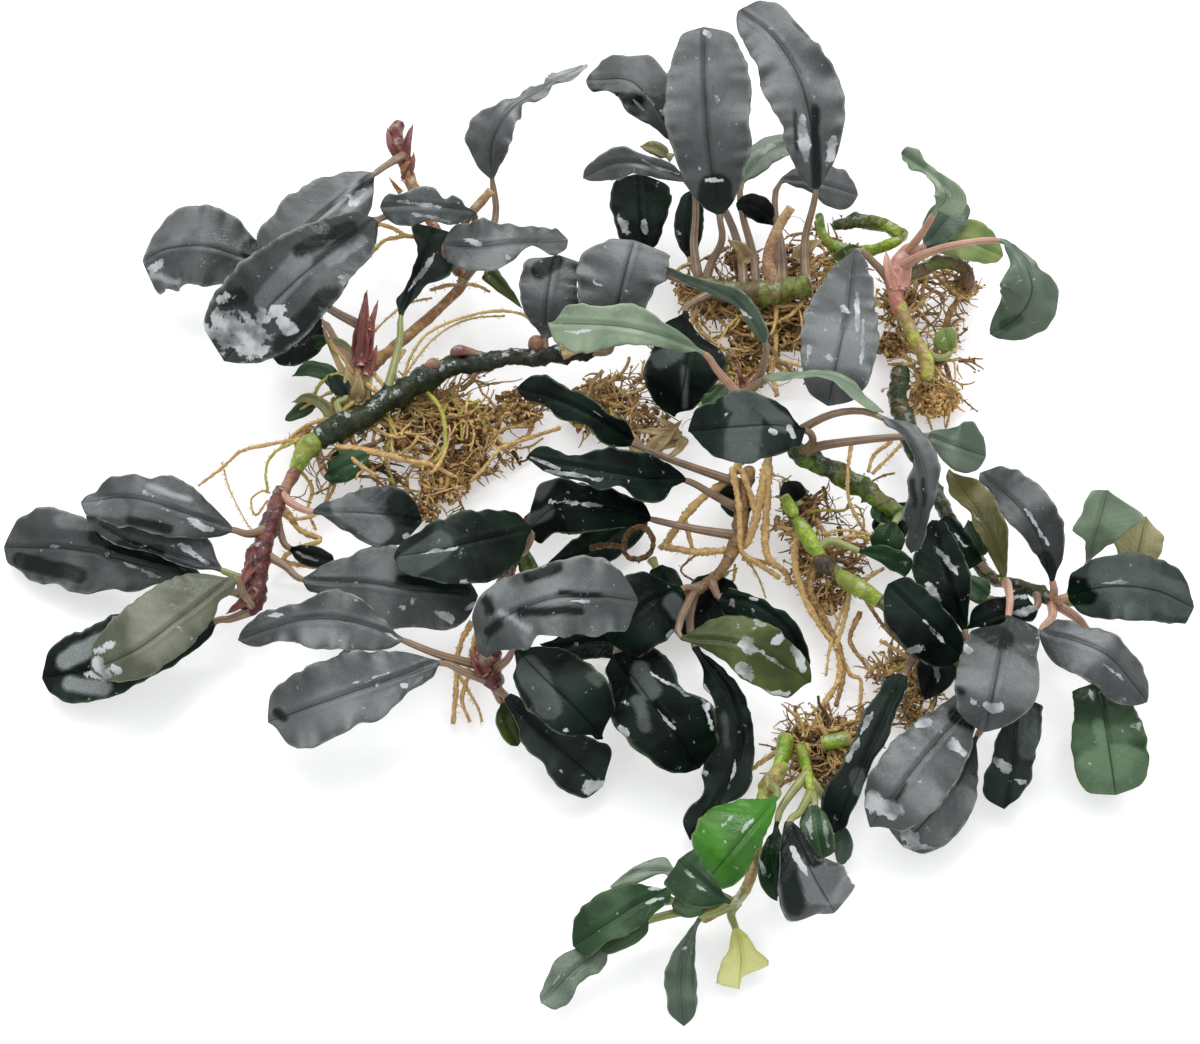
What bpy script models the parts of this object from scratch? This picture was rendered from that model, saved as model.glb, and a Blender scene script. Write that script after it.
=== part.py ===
"""A clump of bucephalandra, an aquarium plant, lying free on a table.

Creeping rhizomes carry about seventy leaves on thin stalks, and mats of fine roots hang under
them. The clump rests on the flat undersides of the root mats. The rows below give each piece's
course as places in the view from the front and above that the piece was measured in, and a
height over the table. +Z is up, +Y points away from that view, and the origin lies under the
middle root mat. Blender's unit is the metre; the rows are in millimetres.
"""

import math
from collections import namedtuple

import bmesh
import bpy
import numpy as np

MM = 0.001

# The view that the courses are measured in: how far it looks down, the pixel that looks at the
# table's middle, the scale there, and the lens as a length in pixels.
VIEW_DOWN = math.radians(58)
VIEW_MIDDLE = (600, 522)
PIXELS_A_MM = 6.0
LENS = 3333.0
# The origin's place on the table from that middle, in mm to the right and away.
HOME = (23.0, -4.0)

# A stalk's radius where it leaves the rhizome and where it meets the blade.
STALK_FOOT = 0.85
STALK_NECK = 0.6
# A blade's half thickness at its base and at its tip.
BLADE_BASE = 0.5
BLADE_TIP = 0.3
# How full the blade's outline is at its base and at its tip: a half is an ellipse's fullness.
ROUND_BASE = 0.72
ROUND_TIP = 0.46
TIP_HALF_WIDTH = 1.0
# Where the loft's rings sit along a blade, from its base to its tip.
BLADE_RINGS = (0.0, 0.13, 0.33, 0.57, 0.79, 0.93, 1.0)
STALK_RING_EVERY = 8.0
# How many short straight lengths make a curved stretch, and how far off a direction is sighted.
COURSE_STEPS = 12
SIGHT = 0.5
TUBE_RING_EVERY = 4.6
# A ring's corners, as shares of its half width and half thickness: six on a large leaf, and
# four on a small one.
LARGE_RING = ((-1, 0), (-0.5, 1), (0.5, 1), (1, 0), (0.5, -1), (-0.5, -1))
SMALL_RING = ((-1, 0), (0, 1), (1, 0), (0, -1))
# The gap between pieces that touch, and how near points are welded, in metres.
GAP = 0.35
WELD = 1e-6

# How far a root mat's rim wanders, and how fast it does so round the rim and up the levels.
LUMP = 0.07
LUMP_ROUND = 2.4
LUMP_UP = 1.7

LEAF_GREEN = (0.016, 0.030, 0.026)
LOOKS = {
    "slate": (0.045, 0.052, 0.056),
    "dark": LEAF_GREEN,
    "green": (0.030, 0.110, 0.020),
    "olive": (0.085, 0.095, 0.035),
    "sage": (0.180, 0.270, 0.150),
    "yellow": (0.520, 0.500, 0.160),
}
ROOT_BROWN = (0.42, 0.24, 0.09)

# A leaf's row: the stalk's course from the stem to the blade, the blade's course from there to
# the tip, each place as (pixel across, pixel down, mm up), the blade's full width in mm, where
# along it the blade is widest, its turn about its own length at base and tip in degrees, the
# rise of its two halves in degrees, and its look.
Leaf = namedtuple("Leaf", "name stem stalk blade wide fullest turn fold look")

LEAVES = [
    Leaf("leaf_upper_left_1", "runner_upper_left", [(361, 326, 13.5), (330, 309, 11.5), (305, 290, 10)],
         [(285, 277, 9.5), (240, 257, 12.5), (200, 247, 14), (165, 251, 11.5), (143, 262, 8)],
         14.8, 0.55, (0, 0), -14, "slate"),
    Leaf("leaf_upper_left_2", "runner_upper_left", [(403, 156, 14), (390, 163, 18)],
         [(373, 175, 20), (335, 205, 20), (300, 236, 18.5), (268, 268, 14.5)],
         12.5, 0.5, (0, 0), -5, "slate"),
    Leaf("leaf_upper_left_3", "runner_upper_left", [(414, 196, 12), (396, 212, 16.5)],
         [(374, 222, 21), (330, 252, 25), (275, 300, 23), (224, 361, 14)],
         16.3, 0.6, (0, 0), 6, "dark"),
    Leaf("leaf_back_left_1", "runner_upper_left", [(440, 238, 10.5), (468, 232, 14)],
         [(474, 213, 17), (445, 207, 21), (410, 205, 22), (380, 207, 20.5)],
         9.0, 0.5, (25, 25), 8, "slate"),
    Leaf("leaf_back_left_2", "rhizome_left", [(384, 401, 10.5), (394, 365, 12), (400, 338, 13)],
         [(401, 316, 14), (412, 287, 15), (424, 260, 14), (436, 228, 12.5)],
         7.5, 0.65, (10, 0), 28, "dark"),
    Leaf("leaf_back_left_3", "runner_upper_left", [(458, 272, 9.5), (449, 262, 13)],
         [(446, 247, 16), (480, 245, 19), (520, 242, 18), (568, 240, 15)],
         9.5, 0.3, (5, 25), 6, "slate"),
    Leaf("leaf_back_left_4", "runner_upper_left", [(463, 280, 9), (486, 250, 10), (496, 212, 12)],
         [(492, 178, 15), (492, 141, 22), (508, 112, 25), (535, 92, 25), (586, 65, 20)],
         9.5, 0.3, (0, 60), 10, "slate"),
    Leaf("leaf_back_middle_1", "rhizome_left", [(592, 351, 12), (606, 352, 13.5)],
         [(612, 345, 15), (617, 310, 20), (626, 270, 24), (634, 240, 26)],
         15.5, 0.6, (0, 0), -10, "slate"),
    Leaf("leaf_back_middle_2", "rhizome_back", [(699, 281, 11), (702, 235, 13), (700, 205, 14.5)],
         [(690, 184, 16), (650, 166, 19), (615, 163, 18), (583, 178, 14)],
         8.5, 0.6, (20, 20), 10, "slate"),
    Leaf("leaf_back_tall_1", "rhizome_back", [(704, 286, 11), (713, 250, 15)],
         [(719, 214, 21), (709, 150, 28), (705, 90, 32), (704, 27, 35)],
         14.4, 0.5, (0, 0), 5, "dark"),
    Leaf("leaf_back_tall_2", "rhizome_back", [(806, 284, 12.5), (805, 240, 15)],
         [(816, 189, 22), (812, 130, 29), (798, 75, 33), (770, 34, 35), (738, 11, 34)],
         13.2, 0.5, (0, 0), 5, "dark"),
    Leaf("leaf_right_1", "stem_right_pink", [(899, 268, 14), (925, 254, 19), (960, 244, 23)],
         [(1001, 241, 25), (1022, 258, 27), (1032, 290, 24), (1018, 318, 18), (990, 334, 13)],
         10.8, 0.6, (0, 0), -12, "slate"),
    Leaf("leaf_centre_1", "stem_right_pink", [(895, 288, 12.5), (877, 266, 15)],
         [(856, 253, 19), (848, 310, 25), (836, 365, 23.5), (828, 406, 18)],
         13.0, 0.55, (0, 0), 4, "slate"),
    Leaf("leaf_centre_2", "rhizome_green_upper", [(739, 396, 14), (717, 370, 18)],
         [(703, 353, 21), (660, 335, 25), (610, 325, 26), (548, 323, 22)],
         9.4, 0.6, (12, 12), 8, "sage"),
    Leaf("leaf_centre_3", "rhizome_back", [(716, 291, 11.5), (694, 302, 12.5)],
         [(685, 313, 14), (687, 350, 16), (684, 385, 14.5), (674, 417, 10)],
         13.0, 0.5, (0, 0), -14, "dark"),
    Leaf("leaf_centre_4", "rhizome_green_upper", [(802, 453, 11.5), (812, 443, 16), (811, 434, 20)],
         [(803, 430, 22), (770, 424, 26), (725, 427, 26), (688, 431, 22)],
         12.6, 0.5, (0, 0), 8, "dark"),
    Leaf("leaf_middle_1", "rhizome_middle", [(745, 485, 8), (700, 470, 10), (662, 456, 12)],
         [(632, 442, 14), (595, 417, 17), (555, 399, 17), (517, 388, 14)],
         8.0, 0.5, (0, 10), 12, "dark"),
    Leaf("leaf_middle_2", "rhizome_middle", [(741, 510, 8), (715, 496, 11)],
         [(684, 480, 14), (640, 477, 18), (580, 467, 19), (526, 458, 15)],
         9.4, 0.5, (0, 10), 8, "dark"),
    Leaf("leaf_middle_3", "rhizome_middle", [(739, 536, 8), (695, 529, 9)],
         [(650, 519, 10), (600, 506, 12.5), (560, 505, 12.5), (524, 530, 8)],
         11.0, 0.6, (0, 0), -8, "dark"),
    Leaf("leaf_right_2", "rhizome_green_upper", [(786, 440, 12), (800, 430, 18), (830, 415, 22), (860, 411, 25)],
         [(884, 419, 26), (909, 440, 27), (923, 475, 25), (921, 515, 21), (911, 553, 16)],
         5.3, 0.6, (0, 0), 14, "slate"),
    Leaf("leaf_far_right_1", "rhizome_right", [(1050, 600, 9.5), (1054, 592, 11)],
         [(1052, 580, 13), (1042, 545, 18), (1022, 510, 22), (980, 473, 19)],
         9.8, 0.5, (0, 0), 8, "slate"),
    Leaf("leaf_far_right_2", "rhizome_right", [(1056, 602, 9.5), (1062, 598, 13)],
         [(1069, 596, 13.8), (1110, 586, 17), (1155, 590, 17), (1194, 607, 12)],
         10.9, 0.5, (0, 0), 5, "dark"),
    Leaf("leaf_far_right_3", "rhizome_right", [(1052, 604, 9.3), (1052, 617, 12.5)],
         [(1043, 632, 15.5), (1078, 642, 17.5), (1112, 659, 17), (1147, 702, 10)],
         9.2, 0.55, (0, 0), -6, "slate"),
    Leaf("leaf_far_right_4", "rhizome_right", [(1053, 602, 9.5), (1085, 628, 9)],
         [(1098, 684, 7), (1107, 735, 9), (1116, 795, 4.5)],
         12.8, 0.55, (0, 0), 6, "dark"),
    Leaf("leaf_lower_right_1", "rhizome_right", [(1006, 583, 8.5), (1008, 587, 12.5), (1010, 601, 15.5)],
         [(1008, 618, 17.5), (1001, 655, 20), (992, 700, 19), (984, 732, 14.5)],
         14.0, 0.55, (0, 0), -6, "slate"),
    Leaf("leaf_lower_right_2", "rhizome_green_lower", [(976, 682, 7), (972, 655, 9)],
         [(964, 630, 10.5), (951, 590, 13), (939, 550, 13.5), (932, 520, 12)],
         11.0, 0.5, (0, 0), 10, "dark"),
    Leaf("leaf_lower_right_3", "rhizome_green_lower", [(974, 678, 7), (981, 688, 9.5)],
         [(975, 700, 12), (932, 748, 15), (897, 790, 15), (870, 827, 9.5)],
         13.4, 0.55, (0, 0), -5, "slate"),
    Leaf("leaf_left_1", "stem_lower_left", [(254, 592, 8.3), (232, 592, 6)],
         [(210, 584, 5.5), (140, 564, 6.5), (75, 549, 6.5), (4, 547, 3)],
         13.4, 0.6, (0, 0), 5, "dark"),
    Leaf("leaf_left_2", "stem_lower_left", [(268, 528, 9), (250, 534, 11)],
         [(231, 529, 13.5), (185, 513, 16), (133, 498, 16), (81, 502, 11)],
         10.6, 0.5, (0, 0), -5, "dark"),
    Leaf("leaf_left_3", "stem_lower_left", [(252, 606, 8), (243, 594, 11)],
         [(233, 580, 14), (187, 613, 16.5), (137, 650, 15.5), (91, 670, 10)],
         12.2, 0.55, (0, 0), -4, "olive"),
    Leaf("leaf_lower_left_1", "stem_lower_middle", [(489, 668, 8.5), (440, 655, 12.5)],
         [(402, 640, 15), (355, 622, 18), (300, 620, 18), (238, 640, 11)],
         9.6, 0.5, (0, 0), 6, "slate"),
    Leaf("leaf_lower_left_2", "stem_lower_middle", [(492, 682, 7.5), (464, 672, 10.5)],
         [(438, 663, 12), (385, 681, 14.5), (325, 701, 13.5), (268, 722, 8)],
         13.2, 0.6, (0, 0), 6, "slate"),
    Leaf("leaf_lower_left_3", "stem_lower_left", [(261, 552, 9), (285, 566, 10)],
         [(304, 580, 10), (355, 582, 12), (415, 590, 12), (478, 596, 8)],
         12.0, 0.5, (0, 0), -5, "slate"),
    Leaf("leaf_lower_left_4", "stem_lower_left", [(281, 494, 8.5), (296, 506, 11)],
         [(315, 512, 13), (350, 512, 15.5), (390, 516, 14.5), (422, 522, 11)],
         10.2, 0.5, (0, 0), -6, "slate"),
    Leaf("leaf_lower_left_5", "stem_lower_middle", [(512, 556, 6.2), (525, 550, 11)],
         [(529, 531, 14), (482, 540, 17.5), (440, 550, 18.5), (394, 557, 15)],
         11.4, 0.55, (0, 0), -6, "dark"),
    Leaf("leaf_lower_middle_1", "stem_lower_middle", [(490, 666, 8.5), (483, 660, 13)],
         [(484, 654, 17), (499, 622, 21), (550, 599, 24), (600, 597, 23), (638, 601, 19)],
         15.0, 0.5, (0, 0), -6, "slate"),
    Leaf("leaf_lower_middle_2", "stem_lower_middle", [(493, 671, 8.5), (506, 661, 12)],
         [(517, 652, 14), (545, 680, 16), (575, 708, 16), (603, 739, 11)],
         13.5, 0.55, (0, 0), -5, "dark"),
    Leaf("leaf_lower_middle_3", "stem_lower_middle", [(496, 687, 7), (501, 692, 7)],
         [(508, 698, 7), (540, 730, 8.5), (574, 760, 7.5), (603, 786, 3.5)],
         10.5, 0.6, (0, 0), 5, "dark"),
    Leaf("leaf_lower_middle_4", "rhizome_middle", [(706, 585, 8.3), (650, 605, 8), (626, 632, 9)],
         [(618, 655, 10), (650, 700, 12.5), (680, 740, 12), (700, 768, 7)],
         14.4, 0.55, (0, 0), 7, "dark"),
    Leaf("leaf_lower_middle_5", "rhizome_middle", [(693, 594, 8.5), (688, 604, 13.5), (680, 622, 17)],
         [(682, 638, 17.5), (725, 641, 19), (770, 656, 17.5), (811, 682, 12)],
         11.6, 0.55, (0, 0), -6, "olive"),
    Leaf("leaf_front_1", "stem_bottom_sprig", [(770, 785, 8.3), (777, 791, 12)],
         [(775, 799, 15), (752, 828, 18), (725, 860, 17.5), (702, 885, 13)],
         12.0, 0.5, (0, 0), -6, "green"),
    Leaf("leaf_front_2", "stem_bottom_sprig", [(811, 793, 9.8), (800, 812, 12)],
         [(790, 824, 13.5), (807, 862, 16), (821, 890, 13.5), (834, 913, 8)],
         13.2, 0.68, (0, 0), -10, "slate"),
    # The leaves from here on are small or half hidden, and are one with the stem they grow on.
    Leaf("small_leaf_upper_left_1", "runner_upper_left", [(360, 372, 10), (337, 342, 8)],
         [(322, 322, 7.5), (300, 343, 7.5), (272, 356, 5)], 7.0, 0.5, (0, 0), 0, "dark"),
    Leaf("small_leaf_upper_left_2", "runner_upper_left", [(360, 378, 9.5), (348, 348, 9)],
         [(330, 340, 9), (303, 347, 6)], 2.6, 0.5, (0, 0), 0, "dark"),
    Leaf("small_leaf_upper_left_3", "rhizome_left", [(346, 424, 10), (337, 404, 10)],
         [(346, 397, 10), (331, 373, 10)], 3.4, 0.5, (0, 0), 0, "dark"),
    Leaf("small_leaf_upper_left_4", "rhizome_left", [(330, 431, 9.5), (326, 412, 8)],
         [(318, 402, 8), (285, 420, 5)], 2.6, 0.4, (0, 0), 0, "dark"),
    Leaf("small_leaf_left_1", "rhizome_left", [(309, 446, 9), (318, 452, 7)],
         [(326, 476, 6.5), (345, 466, 8), (368, 456, 8.5)], 5.4, 0.5, (0, 0), 0, "dark"),
    Leaf("leaf_back_middle_3", "rhizome_left", [(545, 356, 12), (545, 346, 13)],
         [(545, 337, 14), (547, 297, 19), (556, 254, 21)], 10.0, 0.5, (0, 0), -8, "slate"),
    Leaf("leaf_back_middle_4", "rhizome_back", [(697, 282, 11), (672, 277, 10)],
         [(650, 262, 10.5), (641, 215, 13), (638, 174, 13)], 10.4, 0.5, (0, 0), -8, "dark"),
    Leaf("leaf_back_middle_5", "rhizome_back", [(722, 292, 11.5), (722, 240, 10), (706, 190, 10.5)],
         [(676, 140, 13), (655, 106, 18), (628, 80, 20), (586, 80, 15)], 10.4, 0.55, (0, 0), 6, "dark"),
    Leaf("leaf_back_right_1", "rhizome_back", [(748, 292, 12), (728, 245, 11), (734, 205, 12)],
         [(742, 182, 12.5), (766, 153, 14), (798, 142, 14)], 5.4, 0.5, (10, 10), 8, "slate"),
    Leaf("leaf_back_right_2", "rhizome_back", [(784, 290, 12), (782, 250, 11), (775, 212, 12)],
         [(781, 182, 13), (820, 184, 15), (858, 195, 12)], 8.0, 0.6, (0, 0), -5, "slate"),
    Leaf("leaf_back_right_3", "rhizome_back", [(706, 287, 11.3), (695, 271, 9.2)],
         [(690, 258, 9), (689, 222, 10.5), (694, 190, 11)], 5.2, 0.5, (0, 0), 0, "dark"),
    Leaf("leaf_back_right_4", "rhizome_back", [(778, 290, 12), (778, 240, 11)],
         [(775, 224, 11.5), (757, 206, 13.5), (736, 204, 12.5)], 5.0, 0.5, (0, 0), -20, "dark"),
    Leaf("leaf_right_3", "stem_right_pink", [(908, 252, 15.5), (922, 233, 20)],
         [(934, 214, 24), (946, 197, 27), (935, 177, 28), (901, 153, 23)], 6.0, 0.35, (0, 50), 10, "slate"),
    Leaf("leaf_right_4", "stem_right_pink", [(908, 254, 15), (918, 249, 15)],
         [(925, 245, 15.5), (944, 222, 17.5), (966, 202, 18)], 6.4, 0.5, (0, 0), 12, "dark"),
    Leaf("leaf_right_5", "stem_right_pink", [(905, 258, 14.5), (920, 250, 14)],
         [(930, 246, 14), (966, 241, 15.5), (1003, 256, 12)], 7.0, 0.5, (0, 0), 0, "green"),
    Leaf("small_leaf_right_1", "stem_right_pink", [(922, 350, 9.3), (938, 358, 8)],
         [(950, 352, 8), (944, 328, 10)], 4.6, 0.5, (0, 0), 0, "green"),
    Leaf("leaf_right_6", "rhizome_green_upper", [(740, 397, 14), (752, 390, 18)],
         [(766, 379, 21), (803, 374, 26), (842, 379, 28), (884, 412, 25.5)], 4.2, 0.5, (45, 45), 0, "sage"),
    Leaf("leaf_centre_5", "rhizome_green_upper", [(740, 396, 14), (756, 384, 18), (764, 362, 22)],
         [(765, 342, 25), (747, 313, 28), (722, 293, 28), (661, 267, 23)], 6.4, 0.3, (45, 60), 6, "slate"),
    Leaf("leaf_right_7", "rhizome_green_upper", [(806, 455, 11.3), (816, 447, 15), (855, 441, 19), (898, 437, 19)],
         [(928, 437, 17), (955, 446, 18), (986, 456, 15)], 8.8, 0.55, (0, 0), -5, "sage"),
    Leaf("small_leaf_right_2", "rhizome_green_upper", [(900, 515, 9.2), (897, 519, 11)],
         [(894, 524, 11.8), (888, 539, 11.4), (880, 555, 9)], 5.6, 0.5, (0, 0), 0, "dark"),
    Leaf("leaf_far_right_5", "rhizome_right", [(1000, 582, 8.2), (1004, 580, 8.5)],
         [(1004, 577, 9), (993, 540, 11.5), (973, 505, 12), (949, 469, 11)], 6.8, 0.5, (0, 0), 6, "olive"),
    Leaf("leaf_far_right_6", "rhizome_right", [(1053, 602, 9.5), (1077, 594, 9)],
         [(1088, 562, 12), (1097, 530, 17), (1108, 490, 20)], 9.6, 0.6, (0, 0), 24, "sage"),
    Leaf("leaf_far_right_7", "rhizome_right", [(1053, 602, 9.5), (1100, 600, 8.5)],
         [(1128, 584, 8.5), (1138, 551, 11), (1146, 516, 14)], 7.6, 0.65, (0, 0), 0, "olive"),
    Leaf("leaf_far_right_8", "rhizome_right", [(1036, 591, 9.2), (1038, 602, 10.5)],
         [(1034, 609, 11), (1022, 610, 11.5), (996, 617, 11), (966, 628, 9)], 6.2, 0.5, (0, 0), -12, "dark"),
    Leaf("leaf_far_right_9", "rhizome_right", [(990, 575, 7.3), (985, 569, 8)],
         [(980, 563, 8.6), (966, 543, 9.8), (945, 516, 9.5)], 6.4, 0.5, (0, 0), 0, "dark"),
    Leaf("leaf_lower_right_4", "rhizome_green_lower", [(968, 673, 7), (968, 664, 8.5)],
         [(962, 656, 10.5), (928, 622, 15.5), (888, 584, 16)], 11.4, 0.55, (0, 0), 6, "dark"),
    Leaf("small_leaf_right_3", "rhizome_green_lower", [(816, 550, 11), (832, 541, 12)],
         [(860, 551, 13), (886, 556, 13), (913, 566, 12)], 5.4, 0.6, (0, 0), 0, "green"),
    Leaf("leaf_lower_right_5", "rhizome_green_lower", [(975, 680, 7), (990, 712, 7)],
         [(976, 738, 7), (950, 790, 8), (903, 847, 4)], 11.4, 0.5, (0, 0), 5, "dark"),
    Leaf("leaf_lower_right_6", "rhizome_green_lower", [(975, 680, 7), (1008, 684, 8)],
         [(1018, 700, 8.5), (1014, 755, 8.5), (1004, 809, 4)], 8.6, 0.6, (0, 0), 6, "dark"),
    Leaf("leaf_lower_right_7", "rhizome_green_lower", [(925, 638, 7.7), (912, 660, 9)],
         [(903, 677, 11), (880, 725, 13), (856, 780, 11), (834, 833, 5.5)], 7.6, 0.5, (0, 0), 5, "dark"),
    Leaf("leaf_left_4", "stem_lower_left", [(255, 582, 8.5), (238, 577, 9.5)],
         [(221, 570, 10.5), (178, 554, 12), (130, 539, 12), (86, 516, 10)], 8.0, 0.5, (0, 0), 0, "slate"),
    Leaf("leaf_left_5", "stem_lower_left", [(251, 611, 7.3), (230, 619, 7)],
         [(213, 622, 7), (150, 649, 7.5), (92, 668, 6.5), (42, 678, 3)], 12.2, 0.6, (0, 0), 5, "dark"),
    Leaf("small_leaf_left_2", "stem_lower_left", [(275, 508, 9), (281, 535, 7)],
         [(291, 549, 6.5), (334, 562, 5.5)], 3.8, 0.5, (0, 0), 0, "dark"),
    Leaf("leaf_lower_middle_6", "rhizome_middle", [(697, 591, 8.4), (688, 588, 10.5)],
         [(680, 590, 12), (652, 600, 15), (630, 620, 15), (612, 645, 12)], 11.0, 0.5, (0, 0), 0, "dark"),
    Leaf("leaf_lower_middle_7", "rhizome_middle", [(712, 582, 8.2), (716, 592, 9.5)],
         [(722, 598, 10.5), (755, 604, 12), (788, 630, 11), (806, 672, 7)], 7.4, 0.4, (0, 0), 0, "dark"),
    Leaf("leaf_lower_middle_8", "rhizome_middle", [(694, 593, 8.5), (690, 620, 6.5)],
         [(696, 648, 6), (726, 688, 7.5), (741, 735, 7.5), (726, 785, 6), (690, 840, 2.5)],
         8.4, 0.5, (0, 0), 0, "dark"),
    Leaf("small_leaf_lower_middle", "stem_lower_middle", [(496, 688, 7), (500, 700, 5.5)],
         [(503, 704, 5), (508, 725, 5), (518, 746, 3)], 3.6, 0.5, (0, 0), 0, "olive"),
    Leaf("leaf_front_3", "stem_bottom_sprig", [(742, 895, 6), (737, 902, 12), (735, 904, 18)],
         [(729, 902, 20), (706, 884, 22), (678, 860, 20)], 9.0, 0.5, (0, 0), 0, "dark"),
    Leaf("leaf_front_4", "stem_bottom_sprig", [(735, 904, 5.3), (705, 900, 7)],
         [(675, 889, 8.5), (640, 903, 11), (605, 925, 10.5), (573, 946, 7)], 9.4, 0.55, (0, 0), 8, "dark"),
    Leaf("leaf_front_5", "stem_bottom_sprig", [(735, 904, 5.3), (702, 886, 6)],
         [(675, 873, 6.5), (640, 872, 7.5), (610, 887, 6)], 4.6, 0.5, (0, 0), 0, "slate"),
    Leaf("leaf_front_6", "stem_bottom_sprig", [(735, 904, 5.3), (680, 912, 5), (635, 925, 5)],
         [(607, 945, 5.5), (575, 970, 6), (541, 1003, 3)], 7.4, 0.6, (0, 0), 8, "slate"),
    Leaf("leaf_front_7", "stem_bottom_sprig", [(738, 900, 5.7), (718, 912, 6.5)],
         [(699, 920, 7), (684, 957, 8), (681, 992, 6), (684, 1026, 3)], 5.6, 0.6, (0, 0), 10, "olive"),
    Leaf("leaf_front_8", "stem_bottom_sprig", [(737, 902, 5.5), (731, 914, 4)],
         [(736, 930, 3.5), (741, 957, 4), (739, 989, 2)], 8.6, 0.75, (0, 0), 0, "yellow"),
    Leaf("leaf_front_9", "stem_bottom_sprig", [(808, 772, 9), (783, 805, 9.5)],
         [(777, 823, 9.5), (771, 860, 10), (777, 901, 5)], 7.6, 0.5, (0, 0), 0, "dark"),
    Leaf("leaf_front_10", "stem_bottom_sprig", [(812, 795, 10), (814, 800, 11)],
         [(815, 807, 11.5), (819, 832, 11.5), (824, 858, 8)], 6.0, 0.55, (0, 0), 0, "slate"),
    Leaf("small_leaf_front", "stem_bottom_sprig", [(810, 780, 9.5), (830, 806, 5.5)],
         [(838, 822, 3.8), (846, 843, 3.6), (840, 865, 2.6)], 5.6, 0.5, (0, 0), 0, "sage"),
]

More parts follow.
